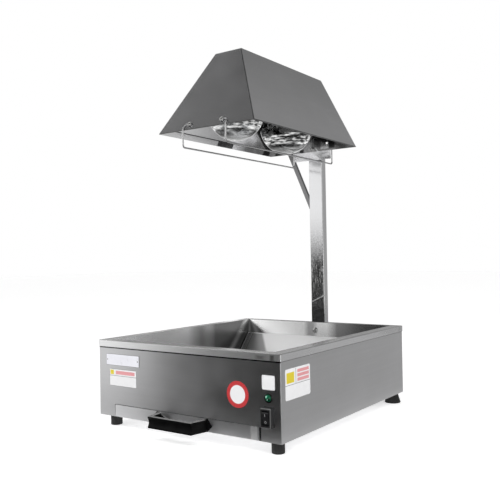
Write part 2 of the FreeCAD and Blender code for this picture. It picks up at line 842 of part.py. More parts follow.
def make_cord_gland():
    """Cable gland: hexagon, rounded nose and a threaded barrel, bored through."""
    seat = V(gland_x, casing_y, foot_height + gland_height)
    out = V(0, 1, 0)
    gland = hexagon(seat, out, gland_flats, gland_flange)
    nose_seat = seat + out * gland_flange
    nose = rod(nose_seat, out, gland_nose_radius, gland_nose)
    nose_end = nose_seat.y + gland_nose - hole_gap
    nose = nose.makeFillet(weld_radius, [edge for edge in nose.Edges if edge.BoundBox.YMin > nose_end])
    gland = gland.fuse(nose).fuse(rod(seat, out * -1, gland_thread_radius, gland_inside))
    start = seat - out * (gland_inside + overrun)
    length = gland_inside + gland_flange + gland_nose + 2 * overrun
    return gland.cut(rod(start, out, gland_bore_radius, length))


def make_gland_nut():
    """Lock nut inside the rear panel."""
    seat = V(gland_x, casing_y - sheet, foot_height + gland_height)
    return nut(seat, V(0, -1, 0), gland_flats, gland_nut_height, gland_thread_radius)


def make_terminal_block():
    """Screw terminal block on the inside of the rear panel."""
    low = foot_height + terminal_lift
    back = casing_y - sheet
    body = block(terminal_x, terminal_x + terminal_width, back - terminal_depth, back,
                 low, low + terminal_height)
    pitch = terminal_width / terminal_ways
    for way in range(terminal_ways):
        start = V(terminal_x + (way + 1 / 2) * pitch, back - terminal_depth, low + terminal_height / 2)
        body = body.cut(rod(start, V(0, 1, 0), terminal_screw_radius, terminal_screw_depth))
    return body


def make_post():
    """Rectangular tube behind the base."""
    half = post_width / 2
    tube = block(-half, half, post_front, post_back, post_bottom, post_top)
    tube = tube.makeFillet(post_corner, upright_edges(tube))
    bore_half = half - post_wall
    bore = block(-bore_half, bore_half, post_front + post_wall, post_back - post_wall,
                 post_bottom - overrun, post_top + overrun)
    tube = tube.cut(bore)
    for height in post_bolt_heights:
        start = V(0, post_front - overrun, height)
        tube = tube.cut(rod(start, V(0, 1, 0), post_bolt_radius + hole_gap, post_depth + 2 * overrun))
    for height in head_bolt_heights:
        start = V(0, post_front - overrun, height)
        tube = tube.cut(rod(start, V(0, 1, 0), head_bolt_radius + hole_gap, post_depth + 2 * overrun))
    return tube


def make_post_caps():
    """Plugs in both ends of the post."""
    half = post_width / 2
    plug_half = half - post_wall - hole_gap
    plug_front = post_front + post_wall + hole_gap
    plug_back = post_back - post_wall - hole_gap
    caps = []
    for end, out in ((post_bottom, -1), (post_top, 1)):
        lid = sorted((end, end + out * cap_thickness))
        plug = sorted((end, end - out * cap_insert))
        cap = block(-half, half, post_front, post_back, lid[0], lid[1])
        cap = cap.makeFillet(post_corner, upright_edges(cap))
        caps.append(cap.fuse(block(-plug_half, plug_half, plug_front, plug_back, plug[0], plug[1])))
    return caps


def make_post_pad():
    """Flat strip that fills the step between the rim skirt and the rear panel, under the post."""
    half = post_width / 2
    top = rim_z - rim_skirt - seat_gap
    pad = block(-half, half, casing_y, base_y, top - pad_height, top)
    for height in post_bolt_heights:
        start = V(0, casing_y - overrun, height)
        pad = pad.cut(rod(start, V(0, 1, 0), post_bolt_radius + hole_gap, 2 * overrun))
    return pad


def post_bolt_seats():
    """Seat of each post bolt: the upper in the well's back band, the lower behind it."""
    seats = (well_back, casing_y - sheet)
    return [V(0, y, height) for y, height in zip(seats, post_bolt_heights)]


def make_post_bolts():
    """Two bolts through the base's back and the post."""
    return [screw(seat, V(0, 1, 0), post_bolt_radius,
                  post_back - seat.y + post_bolt_nut_height + post_bolt_stand,
                  post_bolt_head_radius, post_bolt_head_height) for seat in post_bolt_seats()]


def make_post_nuts():
    """Nuts on the back of the post."""
    return [nut(V(0, post_back, height), V(0, 1, 0), post_bolt_flats, post_bolt_nut_height,
                post_bolt_radius) for height in post_bolt_heights]


def make_bolt_sleeve():
    """Spacer tube between the well's back band and the rear panel, on the upper bolt."""
    start = V(0, well_back + sheet, post_bolt_heights[0])
    length = casing_y - sheet - start.y
    tube = rod(start, V(0, 1, 0), sleeve_radius, length)
    return tube.cut(rod(start, V(0, 1, 0), post_bolt_radius + hole_gap, length))


def side_x(z):
    """Half width of the hood's outside at a height."""
    return hood_half_width - side_lean * (z - hood_bottom)


def front_y(z):
    """Front of the hood's outside at a height."""
    return hood_front_y + front_lean * (z - hood_bottom)


def rear_y(z):
    """Back of the hood's outside at a height."""
    return hood_rear_y - rear_lean * (z - hood_bottom)


def level(lean):
    """Level thickness of a leaning sheet."""
    return sheet * math.hypot(1, lean)


def across(layers, z0, z1):
    """Space between the hood's two sloping sides, in by some layers of sheet."""
    step = layers * level(side_lean)
    outline = [(step - side_x(z0), z0), (side_x(z0) - step, z0),
               (side_x(z1) - step, z1), (step - side_x(z1), z1)]
    return prism_y(outline, hood_front_y - overrun, hood_rear_y + overrun)


def along(layers, z0, z1):
    """Space between the hood's front and rear panels, in by some layers of sheet."""
    outline = [(front_y(z0) + layers * level(front_lean), z0),
               (rear_y(z0) - layers * level(rear_lean), z0),
               (rear_y(z1) - layers * level(rear_lean), z1),
               (front_y(z1) + layers * level(front_lean), z1)]
    return prism_x(outline, -hood_half_width - overrun, hood_half_width + overrun)


def hood_solid():
    """The hood's outer form, with its folded upper edges rounded."""
    solid = across(0, hood_bottom, hood_top).common(along(0, hood_bottom, hood_top))
    folds = [edge for edge in solid.Edges
             if edge.BoundBox.ZMin > hood_top - hole_gap and edge.BoundBox.XLength < hole_gap]
    return solid.makeFillet(weld_radius, folds)


def make_hood_wrap():
    """One sheet folded over: left side, top and right side, with hems along the bottom."""
    wrap = hood_solid().cut(across(1, hood_bottom - overrun, hood_top - sheet))
    hem_top = hood_bottom + hood_hem
    hem = across(1, hood_bottom, hem_top).cut(across(2, hood_bottom - overrun, hem_top + overrun))
    hem = hem.common(along(2, hood_bottom, hem_top))
    wrap = wrap.fuse(hem)
    for y in stud_ys():
        wrap = wrap.cut(rod(V(0, y, hood_top - overrun), V(0, 0, 1), stud_thread_radius + hole_gap,
                            2 * overrun))
    return wrap


def hood_end():
    """Room that the front and rear panels share between the sides, under the top."""
    return across(1, hood_bottom - overrun, hood_top - sheet).common(hood_solid())


def make_hood_front():
    """Leaning front panel between the sides, hemmed below, bored for the guards' screws."""
    room = along(1, hood_bottom - overrun, hood_top + overrun)
    back = block(-hood_half_width, hood_half_width, hood_middle_y, hood_rear_y,
                 0, hood_top + overrun)
    panel = hood_end().cut(room).cut(back)
    hem_top = hood_bottom + hood_hem
    hem = along(1, hood_bottom, hem_top).cut(along(2, hood_bottom - overrun, hem_top + overrun))
    panel = panel.fuse(hem.common(across(1, hood_bottom, hem_top)).cut(back))
    for side in (-1, 1):
        seat = guard_front_seat(side)
        start = seat + front_normal() * overrun
        panel = panel.cut(rod(start, front_normal() * -1, guard_screw_radius + hole_gap, 3 * overrun))
    return panel


def make_hood_rear():
    """Almost upright rear panel, bored for the guards, the brace and the post's head."""
    room = along(1, hood_bottom - overrun, hood_top + overrun)
    front = block(-hood_half_width, hood_half_width, hood_front_y, hood_middle_y,
                  0, hood_top + overrun)
    panel = hood_end().cut(room).cut(front)
    hem_top = hood_bottom + hood_hem
    hem = along(1, hood_bottom, hem_top).cut(along(2, hood_bottom - overrun, hem_top + overrun))
    panel = panel.fuse(hem.common(across(1, hood_bottom, hem_top)).cut(front))
    for x, z, radius in rear_holes():
        panel = panel.cut(rod(V(x, hood_rear_y - 3 * overrun, z), V(0, 1, 0), radius, 4 * overrun))
    return panel


def rear_holes():
    """Holes through the hood's rear panel: x, z and radius."""
    holes = [(0, z, head_bolt_radius + hole_gap) for z in head_bolt_heights]
    holes += [(side * guard_eye_x, guard_rear_eye_z, guard_screw_radius + hole_gap) for side in (-1, 1)]
    holes.append((brace_top_x, brace_top_z, guard_screw_radius + hole_gap))
    return holes


def rear_strip(z):
    """Back of the head plate at a height."""
    return rear_y(z) + head_plate_thickness


def make_head_plate():
    """Plate on the outside of the hood's rear panel, reaching below it in front of the post."""
    low = head_plate_bottom
    high = head_plate_top
    outline = [(rear_y(low), low), (rear_strip(low), low), (rear_strip(high), high), (rear_y(high), high)]
    plate = prism_x(outline, -head_plate_half_width, head_plate_half_width)
    for x, z, radius in rear_holes():
        plate = plate.cut(rod(V(x, hood_rear_y - 3 * overrun, z), V(0, 1, 0), radius, 5 * overrun))
    return plate


def make_head_spacer():
    """Short channel welded between the head plate and the post."""
    half = post_width / 2
    low = head_spacer_bottom
    high = head_plate_top
    outline = [(rear_strip(low), low), (post_front, low), (post_front, high), (rear_strip(high), high)]
    spacer = prism_x(outline, -half, half)
    inner_half = half - post_wall
    inner = block(-inner_half, inner_half, post_front - post_depth, post_front - post_wall,
                  low - overrun, high + overrun)
    spacer = spacer.cut(inner)
    for z in head_bolt_heights:
        start = V(0, hood_rear_y, z)
        spacer = spacer.cut(rod(start, V(0, 1, 0), head_bolt_radius + hole_gap, 2 * post_depth))
    return spacer


def make_head_bolts():
    """Bolts through the post, the spacer, the plate and the hood's rear panel."""
    bolts = []
    for z in head_bolt_heights:
        seat = V(0, post_back, z)
        length = post_back - rear_y(z) + sheet + head_nut_height + head_bolt_stand
        bolts.append(screw(seat, V(0, -1, 0), head_bolt_radius, length,
                           head_bolt_head_radius, head_bolt_head_height))
    return bolts


def inner_rear(z):
    """Inside face of the hood's rear panel at a height, past the hem where there is one."""
    layers = 2 if z < hood_bottom + hood_hem else 1
    return rear_y(z) - layers * level(rear_lean)


def make_head_nuts():
    """Nuts inside the hood."""
    return [nut(V(0, inner_rear(z) - seat_gap, z), V(0, -1, 0), head_nut_flats, head_nut_height,
                head_bolt_radius) for z in head_bolt_heights]


def make_brace():
    """Square bar from the post's left side up to the hood's rear panel, cut flush at the post."""
    foot_x = -post_width / 2
    run = V(brace_top_x - foot_x, 0, brace_top_z - brace_foot_z).normalize()
    half = brace_width / 2
    rise = half / abs(run.x)
    end_x = brace_top_x + run.x * brace_end
    end_z = brace_top_z + run.z * brace_end
    outline = [(foot_x, brace_foot_z - rise), (foot_x, brace_foot_z + rise),
               (end_x + half * run.z, end_z - half * run.x), (end_x - half * run.z, end_z + half * run.x)]
    front = post_front + post_wall
    bar = prism_y(outline, front, front + brace_width)
    start = V(brace_top_x, front - overrun, brace_top_z)
    return bar.cut(rod(start, V(0, 1, 0), guard_screw_radius + hole_gap, brace_width + 2 * overrun))


def make_brace_standoff():
    """Round spacer between the hood's rear panel and the brace."""
    start = V(brace_top_x, hood_top_rear_y, brace_top_z)
    length = post_front + post_wall - start.y
    tube = rod(start, V(0, 1, 0), standoff_radius, length)
    tube = tube.cut(hood_solid())
    return tube.cut(rod(start, V(0, 1, 0), guard_screw_radius + hole_gap, length))


def brace_screw_seat():
    """Seat of the brace's screw on the back of the brace."""
    return V(brace_top_x, post_front + post_wall + brace_width, brace_top_z)


def make_brace_screw():
    """Screw through the brace, its standoff and the hood's rear panel."""
    seat = brace_screw_seat()
    length = seat.y - inner_rear(brace_top_z) + guard_nut_height + guard_screw_stand
    return screw(seat, V(0, -1, 0), guard_screw_radius, length,
                 guard_screw_head_radius, guard_screw_head_height)


def lamp_place(shape, rear):
    """Put a piece drawn about its lamp's axis where the front or the rear lamp is."""
    tilt = lamp_rear_tilt_degrees if rear else 0
    shape.rotate(V(0, 0, 0), V(1, 0, 0), -tilt)
    shape.translate(V(0, lamp_rear_y, lamp_rear_z) if rear else V(0, lamp_front_y, lamp_front_z))
    return shape


def dome_solid(shrink):
    """Front of the lamp: a round cap below the widest circle."""
    cap = domed(lamp_radius - shrink, lamp_dome - shrink)
    cap.rotate(V(0, 0, 0), V(1, 0, 0), 180)
    return cap


def bowl_solid(shrink):
    """Back of the lamp: a bowl that narrows to a neck."""
    rim = V(lamp_radius - shrink, 0, 0)
    waist = V(lamp_radius * bowl_waist_radius_share - shrink, 0, bowl_height * bowl_waist_height_share)
    neck = V(lamp_neck_radius - shrink, 0, bowl_height)
    top = V(lamp_neck_radius - shrink, 0, bowl_height + lamp_neck - shrink)
    centre_top = V(0, 0, top.z)
    edges = [Part.Arc(rim, waist, neck).toShape(), Part.LineSegment(neck, top).toShape(),
             Part.LineSegment(top, centre_top).toShape(),
             Part.LineSegment(centre_top, V(0, 0, 0)).toShape(),
             Part.LineSegment(V(0, 0, 0), rim).toShape()]
    return spin(edges)


def make_lamp_lens():
    """Clear domed front of a lamp."""
    return dome_solid(0).cut(dome_solid(lamp_glass))


def make_lamp_bowl():
    """Mirrored bowl and neck of a lamp."""
    return bowl_solid(0).cut(bowl_solid(lamp_glass))


def lamp_cap_bottom():
    """Where the screw cap starts, above the widest circle."""
    return bowl_height + lamp_neck


def make_lamp_cap():
    """Screw cap of a lamp, with rounded threads and a contact."""
    low = lamp_cap_bottom()
    cap = rod(V(0, 0, low), V(0, 0, 1), lamp_cap_radius - cap_rib, lamp_cap)
    pitch = lamp_cap / (cap_ribs + 2)
    for rib in range(cap_ribs):
        height = low + (rib + 1) * pitch
        cap = cap.fuse(Part.makeTorus(lamp_cap_radius - 2 * cap_rib, 2 * cap_rib, V(0, 0, height)))
    return cap


def make_lamp_socket():
    """Porcelain lamp holder: shouldered, open below for the cap."""
    low = lamp_cap_bottom() + seat_gap
    top = lamp_reach
    shoulder = low + (top - low) * socket_shoulder_share
    holder = rod(V(0, 0, low), V(0, 0, 1), socket_radius, shoulder - low)
    holder = holder.fuse(rod(V(0, 0, shoulder), V(0, 0, 1), socket_shoulder_radius, top - shoulder))
    bore_top = lamp_cap_bottom() + lamp_cap + seat_gap
    bore = rod(V(0, 0, low - overrun), V(0, 0, 1), lamp_cap_radius + seat_gap, bore_top - low + overrun)
    return holder.cut(bore)


def make_lamp_filament():
    """Glass stem, two leads and an open ring of filament, as one piece."""
    top = bowl_height + lamp_neck - lamp_glass
    stem_end = top - stem_length
    mount = rod(V(0, 0, stem_end), V(0, 0, 1), stem_radius, stem_length)
    ring_z = stem_end - filament_lead
    ring = Part.makeTorus(filament_radius, filament_wire_radius, V(0, 0, 0), V(0, 0, 1), 0, 360,
                          filament_arc_degrees)
    ring.translate(V(0, 0, ring_z))
    mount = mount.fuse(ring)
    for turn in (0, filament_arc_degrees):
        angle = math.radians(turn)
        foot = V(filament_radius * math.cos(angle), filament_radius * math.sin(angle), ring_z)
        head = V(foot.x * stem_radius / (2 * filament_radius),
                 foot.y * stem_radius / (2 * filament_radius), stem_end + stem_radius)
        mount = mount.fuse(rod(foot, head - foot, filament_lead_radius, (head - foot).Length))
    return mount


def rail_bend_y():
    """Where the rail bends down so that the rear lamp aims at the middle of the well."""
    tilt = math.radians(lamp_rear_tilt_degrees)
    seat_y = lamp_rear_y + lamp_reach * math.sin(tilt)
    seat_z = lamp_rear_z + lamp_reach * math.cos(tilt)
    return seat_y - (rail_underside - seat_z) / math.tan(tilt)


def stud_ys():
    """Places of the rail's studs behind the front lamp."""
    return [lamp_front_y + offset for offset in stud_offsets]


def make_lamp_rail():
    """Strip under the hood's top that carries both lamp holders, bent down at the back."""
    tilt = math.radians(lamp_rear_tilt_degrees)
    low = rail_underside
    bend = rail_bend_y()
    start = lamp_front_y - rail_front_reach
    seat_y = lamp_rear_y + lamp_reach * math.sin(tilt)
    end = seat_y + rail_rear_reach
    drop = (end - bend) * math.tan(tilt)
    upper = rail_thickness / math.cos(tilt)
    outline = [(start, low), (bend, low), (end, low - drop), (end, low - drop + upper),
               (bend, low + rail_thickness), (start, low + rail_thickness)]
    rail = prism_x(outline, -rail_half_width, rail_half_width)
    for y in stud_ys():
        rail = rail.cut(rod(V(0, y, low - overrun), V(0, 0, 1), stud_thread_radius + hole_gap,
                            2 * overrun + rail_thickness))
    return rail


def make_rail_studs():
    """Studs that hang the rail from the hood's top, each with its collar and low dome above."""
    studs = []
    low = rail_underside
    for y in stud_ys():
        shank_bottom = low - stud_nut_height - seat_gap
        shank = rod(V(0, y, shank_bottom), V(0, 0, 1), stud_thread_radius, hood_top - shank_bottom)
        collar_low = low + rail_thickness
        collar = rod(V(0, y, collar_low), V(0, 0, 1), stud_radius, hood_top - sheet - collar_low)
        dome = pan_head(V(0, y, hood_top), V(0, 0, 1), stud_radius, stud_radius / 2)
        studs.append(shank.fuse(collar).fuse(dome))
    return studs


def make_rail_nuts():
    """Nuts under the rail."""
    return [nut(V(0, y, rail_underside), V(0, 0, -1), stud_nut_flats, stud_nut_height,
                stud_thread_radius) for y in stud_ys()]


def front_normal():
    """Direction that the hood's front panel faces."""
    return V(0, -1, front_lean).normalize()


def guard_front_seat(side):
    """Point on the hood's front panel under the middle of a guard's eye."""
    return V(side * guard_eye_x, front_y(guard_front_eye_z), guard_front_eye_z)


def guard_rear_seat(side):
    """Point on the head plate's back under the middle of a guard's eye."""
    return V(side * guard_eye_x, rear_strip(guard_rear_eye_z), guard_rear_eye_z)


def make_guard_right():
    """Wire along one side of the lamps, bent up at both ends to flattened eyes."""
    side = 1
    wire_off = guard_wire + seat_gap
    front = guard_front_seat(side) + front_normal() * wire_off
    foot_z = hood_bottom
    lower = V(0, front_y(foot_z), foot_z) + front_normal() * wire_off
    rear_at = rear_strip(guard_rear_eye_z) + wire_off
    x = side * guard_x
    eye_x = side * (guard_eye_x + guard_screw_head_radius + seat_gap)
    points = [V(eye_x, front.y, front.z), V(x, front.y, front.z), V(x, lower.y, lower.z),
              V(x, lower.y, guard_bottom), V(x, rear_at, guard_bottom),
              V(x, rear_at, guard_rear_eye_z), V(eye_x, rear_at, guard_rear_eye_z)]
    guard = bent_rod(points, guard_bend, guard_wire)
    rear_out = V(0, 1, 0)
    for seat, out in ((guard_front_seat(side), front_normal()), (guard_rear_seat(side), rear_out)):
        start = seat + out * (wire_off - guard_eye_thickness / 2)
        guard = guard.fuse(rod(start, out, guard_eye_radius, guard_eye_thickness))
        guard = guard.cut(rod(seat, out, guard_screw_radius + hole_gap, overrun))
    return guard


def make_guard_left():
    """The other guard, the mirror image of the right one."""
    return make_guard_right().mirror(V(0, 0, 0), V(1, 0, 0))


def guard_screw_rows():
    """Seat, inward direction and inner face distance of each guard screw."""
    rows = []
    stack = seat_gap + guard_wire + guard_eye_thickness / 2
    for side in (-1, 1):
        out = front_normal()
        rows.append((guard_front_seat(side) + out * stack, out * -1, stack + 2 * sheet))
        rear_out = V(0, 1, 0)
        rear_inner = rear_strip(guard_rear_eye_z) - inner_rear(guard_rear_eye_z)
        rows.append((guard_rear_seat(side) + rear_out * stack, rear_out * -1, stack + rear_inner))
    return rows


def make_guard_screws():
    """Screws through the guards' eyes."""
    reach = guard_nut_height + guard_screw_stand
    return [screw(seat, inward, guard_screw_radius, depth + reach,
                  guard_screw_head_radius, guard_screw_head_height)
            for seat, inward, depth in guard_screw_rows()]


def make_guard_nuts():
    """Nuts inside the hood, on the guards' screws and on the brace's."""
    nuts = [nut(seat + inward * (depth + seat_gap), inward, guard_nut_flats, guard_nut_height,
                guard_screw_radius) for seat, inward, depth in guard_screw_rows()]
    brace_seat = V(brace_top_x, inner_rear(brace_top_z) - seat_gap, brace_top_z)
    nuts.append(nut(brace_seat, V(0, -1, 0), guard_nut_flats, guard_nut_height, guard_screw_radius))
    return nuts


def rivet_places():
    """Side and depth of each rivet in the rim skirt."""
    return [(side, y) for side in (-1, 1) for y in (-rivet_y, rivet_y)]


def make_rim_rivets():
    """Rivets that hold the well liner's skirt to the casing."""
    rivets = []
    for side, y in rivet_places():
        seat = V(side * base_x, y, rim_z - rivet_drop)
        length = base_x - casing_x + sheet + rivet_head_height
        rivets.append(screw(seat, V(-side, 0, 0), rivet_radius, length,
                            rivet_head_radius, rivet_head_height))
    return rivets


os.makedirs("parts", exist_ok=True)

# Base
save("casing", [make_casing()])
save("rear_panel", [make_rear_panel()])
save("well_liner", make_well_liner())
save("chip_tray", make_chip_tray())
save("tray_screen", [make_tray_screen()])
save("rim_rivets", make_rim_rivets())

# Drawer
save("drawer_tray", make_drawer_tray())
save("drawer_front", [make_drawer_front()])
save("drawer_handle", [make_drawer_handle()])
save("handle_screws", make_handle_screws())
save("runner_left", [make_runner(-1)])
save("runner_right", [make_runner(1)])

# Feet
feet = foot_places()
save("foot_front_left", [make_foot(feet[0], front_foot_radius, front_foot_radius)])
save("foot_front_right", [make_foot(feet[1], front_foot_radius, front_foot_radius)])
save("foot_rear_left", [make_foot(feet[2], rear_foot_radius, rear_foot_top_radius)])
save("foot_rear_right", [make_foot(feet[3], rear_foot_radius, rear_foot_top_radius)])
save("foot_screws", make_foot_screws())
save("foot_nuts", make_foot_nuts())

# Switch, pilot lamp, cord gland and terminals
save("switch_bezel", [make_switch_bezel()])
save("switch_rocker", [make_switch_rocker()])
save("switch_body", [make_switch_body()])
save("pilot_ring", [make_pilot_ring()])
save("pilot_lens", [make_pilot_lens()])
save("pilot_barrel", [make_pilot_barrel()])
save("cord_gland", [make_cord_gland()])
save("gland_nut", [make_gland_nut()])
save("terminal_block", [make_terminal_block()])

# Post and what joins it to the base and the hood
save("post", [make_post()])
save("post_caps", make_post_caps())
save("post_pad", [make_post_pad()])
save("post_bolts", make_post_bolts())
save("post_nuts", make_post_nuts())
save("bolt_sleeve", [make_bolt_sleeve()])
save("head_plate", [make_head_plate()])
save("head_spacer", [make_head_spacer()])
save("head_bolts", make_head_bolts())
save("head_nuts", make_head_nuts())
save("brace", [make_brace()])
save("brace_standoff", [make_brace_standoff()])
save("brace_screw", [make_brace_screw()])

# Hood and lamps
save("hood_wrap", [make_hood_wrap()])
save("hood_front", [make_hood_front()])
save("hood_rear", [make_hood_rear()])
save("lamp_rail", [make_lamp_rail()])
save("rail_studs", make_rail_studs())
save("rail_nuts", make_rail_nuts())
for rear in (False, True):
    end = "rear" if rear else "front"
    save(f"lamp_{end}_socket", [lamp_place(make_lamp_socket(), rear)])
    save(f"lamp_{end}_cap", [lamp_place(make_lamp_cap(), rear)])
    save(f"lamp_{end}_bowl", [lamp_place(make_lamp_bowl(), rear)])
    save(f"lamp_{end}_lens", [lamp_place(make_lamp_lens(), rear)])
    save(f"lamp_{end}_filament", [lamp_place(make_lamp_filament(), rear)])

# Guards
save("guard_left", [make_guard_left()])
save("guard_right", [make_guard_right()])
save("guard_screws", make_guard_screws())
save("guard_nuts", make_guard_nuts())
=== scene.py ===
# %% [markdown]
# The chip warmer comes in as one mesh per piece, already in its place and at its real size.
# Nothing is moved here: this script adds the light, the camera, the finishes and the labels.

# %% Load the frame
import json
import math
import bpy
import numpy as np
from mathutils import Matrix, Vector


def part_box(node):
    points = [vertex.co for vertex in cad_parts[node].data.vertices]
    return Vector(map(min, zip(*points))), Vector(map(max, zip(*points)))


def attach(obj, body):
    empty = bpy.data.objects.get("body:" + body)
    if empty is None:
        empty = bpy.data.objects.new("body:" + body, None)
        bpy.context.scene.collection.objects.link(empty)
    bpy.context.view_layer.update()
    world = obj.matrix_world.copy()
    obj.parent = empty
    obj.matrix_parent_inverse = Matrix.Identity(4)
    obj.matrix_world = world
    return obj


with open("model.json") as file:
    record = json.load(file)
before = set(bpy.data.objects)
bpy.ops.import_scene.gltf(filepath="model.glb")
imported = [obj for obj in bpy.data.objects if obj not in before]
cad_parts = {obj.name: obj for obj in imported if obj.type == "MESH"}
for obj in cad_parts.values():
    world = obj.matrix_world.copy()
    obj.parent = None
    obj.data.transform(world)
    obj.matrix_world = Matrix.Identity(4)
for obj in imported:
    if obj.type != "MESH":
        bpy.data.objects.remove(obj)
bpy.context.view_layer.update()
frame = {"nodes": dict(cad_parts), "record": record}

nodes = frame["nodes"]
print("pieces in the frame:", len(nodes))

# %% [markdown]
# The camera stands to the right of the front, a little above the base, and looks almost level.
# Its place was worked out from the straight edges in the picture, so it is given as a point,
# a compass turn, a small upward tilt and a small roll. A matrix holds the camera's own right,
# up and backward directions in its columns.

# %% Camera
camera_place = Vector((0.8866, -1.28625, 0.3588))
camera_turn = math.radians(35.134)
camera_dip = math.radians(-0.646)
camera_roll = math.radians(-0.994)
camera_lens_mm = 48.86
camera_shift = (0.0004, -0.0018)


def camera_matrix(place, turn, dip, roll):
    """Place and aim of the camera as a 4x4 matrix."""
    ahead = Vector((-math.sin(turn) * math.cos(dip), math.cos(turn) * math.cos(dip), -math.sin(dip)))
    level_right = Vector((math.cos(turn), math.sin(turn), 0))
    level_up = level_right.cross(ahead)
    right = level_right * math.cos(roll) + level_up * math.sin(roll)
    up = level_up * math.cos(roll) - level_right * math.sin(roll)
    turned = Matrix((right, up, -ahead)).transposed()
    return Matrix.Translation(place) @ turned.to_4x4()


camera_data = bpy.data.cameras.new("camera")
camera_data.lens = camera_lens_mm
camera_data.sensor_width = 36
camera_data.shift_x, camera_data.shift_y = camera_shift
camera = bpy.data.objects.new("camera", camera_data)
bpy.context.scene.collection.objects.link(camera)
camera.matrix_world = camera_matrix(camera_place, camera_turn, camera_dip, camera_roll)
bpy.context.scene.camera = camera
print("camera at", [round(value, 3) for value in camera_place])

# %% [markdown]
# Every new surface is a grid of points: a formula gives the place of each point from two
# parameters, numpy works out the whole grid at once, and the faces join neighbouring points.
# A grid can close on itself in either direction, which makes tubes and rings.

# %% Surfaces from grids
def grid_faces(rows, columns, close_rows=False, close_columns=False):
    """Corner numbers of the quads between neighbouring points of a rows by columns grid."""
    last_row = rows if close_rows else rows - 1
    last_column = columns if close_columns else columns - 1
    row, column = np.meshgrid(np.arange(last_row), np.arange(last_column), indexing="ij")
    next_row = (row + 1) % rows
    next_column = (column + 1) % columns
    corners = [row * columns + column, next_row * columns + column,
               next_row * columns + next_column, row * columns + next_column]
    return np.stack(corners, axis=-1).reshape(-1, 4)


def make_piece(name, points, faces, material):
    """Mesh object from points in metres and a list of corner numbers for each face."""
    mesh = bpy.data.meshes.new(name)
    mesh.from_pydata(np.asarray(points, float).reshape(-1, 3).tolist(), [], faces)
    mesh.update()
    mesh.materials.append(material)
    piece = bpy.data.objects.new(name, mesh)
    bpy.context.scene.collection.objects.link(piece)
    return piece


print("faces of a 3 by 4 grid:", len(grid_faces(3, 4)))

# %% [markdown]
# A material is a small network of nodes. An input of a node takes another node's output, which
# gets a link, or a plain value, which is written on the socket. A new material starts with the
# general purpose shader, and its plain numbers stand on the shader itself, so that they also
# survive an export.

# %% Start a material
def feed(socket, value):
    """Link an output to a socket, or write a plain value on it."""
    if isinstance(value, bpy.types.NodeSocket):
        socket.id_data.links.new(value, socket)
    else:
        socket.default_value = value


def feed_all(node, **values):
    """Feed inputs of a node by their names, and give its outputs."""
    for label, value in values.items():
        feed(node.inputs[label.replace("_", " ")], value)
    return node.outputs


def new_material(name, **values):
    """Material with a Principled shader, and the shader's plain inputs set by name."""
    material = bpy.data.materials.new(name)
    material.use_nodes = True
    shader = material.node_tree.nodes["Principled BSDF"]
    feed_all(shader, **values)
    return material, shader


def add_node(tree, kind, **settings):
    """Shader node of a kind, with its settings given by name."""
    node = tree.nodes.new("ShaderNode" + kind)
    for label, value in settings.items():
        setattr(node, label, value)
    return node


def grey(level, blue=0.0):
    """Grey colour, a little bluer where asked."""
    return (level, level, level * (1 + blue), 1)


def opaque(colour, factor=1.0):
    """Colour times a factor, as the four numbers that a colour socket takes."""
    return (*[part * factor for part in colour], 1)


print("middle grey:", grey(0.5))

# %% [markdown]
# Most patterns are small sums: take a place or a direction, multiply it, and mix two colours by
# what comes out. Each helper adds one node, in the network that its inputs come from.

# %% Sums on nodes
def tree_of(values):
    """Network of the first output among some values."""
    return next(value.id_data for value in values if isinstance(value, bpy.types.NodeSocket))


def sum_of(kind, values, **settings):
    """Outputs of a new node whose inputs are fed in their order."""
    node = add_node(tree_of(values), kind, **settings)
    for socket, value in zip(node.inputs, values):
        feed(socket, value)
    return node.outputs


def combine(operation, *values):
    """Result of a sum on single values, such as ADD or MULTIPLY."""
    return sum_of("Math", values, operation=operation)[0]


def chain(operation, first, *others):
    """Result of a sum that takes several single values one after another."""
    for value in others:
        first = combine(operation, first, value)
    return first


def combine_vectors(operation, *values):
    """Result of a sum on vectors: a vector, or a single value for a dot product or a distance."""
    outputs = sum_of("VectorMath", values, operation=operation)
    return outputs["Value" if operation in ("DOT_PRODUCT", "DISTANCE") else "Vector"]


def mixed(factor, first, second, kind="RGBA"):
    """First value where the factor is 0, second where it is 1, and a blend between."""
    node = add_node(factor.id_data, "Mix", data_type=kind)
    return feed_all(node, Factor=factor, A=first, B=second)["Result"]


def span(value, low, high, from_low=0.3, from_high=0.7):
    """Value moved from one range to another, and held at its ends."""
    limits = {"From_Min": from_low, "From_Max": from_high, "To_Min": low, "To_Max": high}
    return feed_all(add_node(value.id_data, "MapRange"), Value=value, **limits)["Result"]


def shaded(colour, value):
    """Colour multiplied by a value."""
    node = add_node(value.id_data, "VectorMath", operation="SCALE")
    feed(node.inputs[0], colour)
    feed(node.inputs["Scale"], value)
    return node.outputs[0]


def object_place(tree):
    """Place on the object in metres."""
    return add_node(tree, "TexCoord").outputs["Object"]


def surface_normal(tree):
    """Direction in which the surface faces."""
    return add_node(tree, "NewGeometry").outputs["Normal"]


def parts_of(vector):
    """Outputs X, Y and Z of a vector."""
    return sum_of("SeparateXYZ", [vector])


print("sums ready")

# %% [markdown]
# Bare metal has no colour of its own to speak of: it shows what stands around it. So the studio
# is white to the camera, to mirrors and to glass, and lights everything else more gently. Light
# Path tells these rays apart. The pale floor glows a little in the same way, and keeps shadows.

# %% Surroundings and floor
def light_path_white(tree, seen_level, other_level):
    """Strength that is one value for camera, glossy and transmission rays and another for the rest."""
    rays = add_node(tree, "LightPath").outputs
    seen = chain("ADD", rays["Is Camera Ray"], rays["Is Glossy Ray"], rays["Is Transmission Ray"])
    return span(seen, other_level, seen_level, 0, 1)


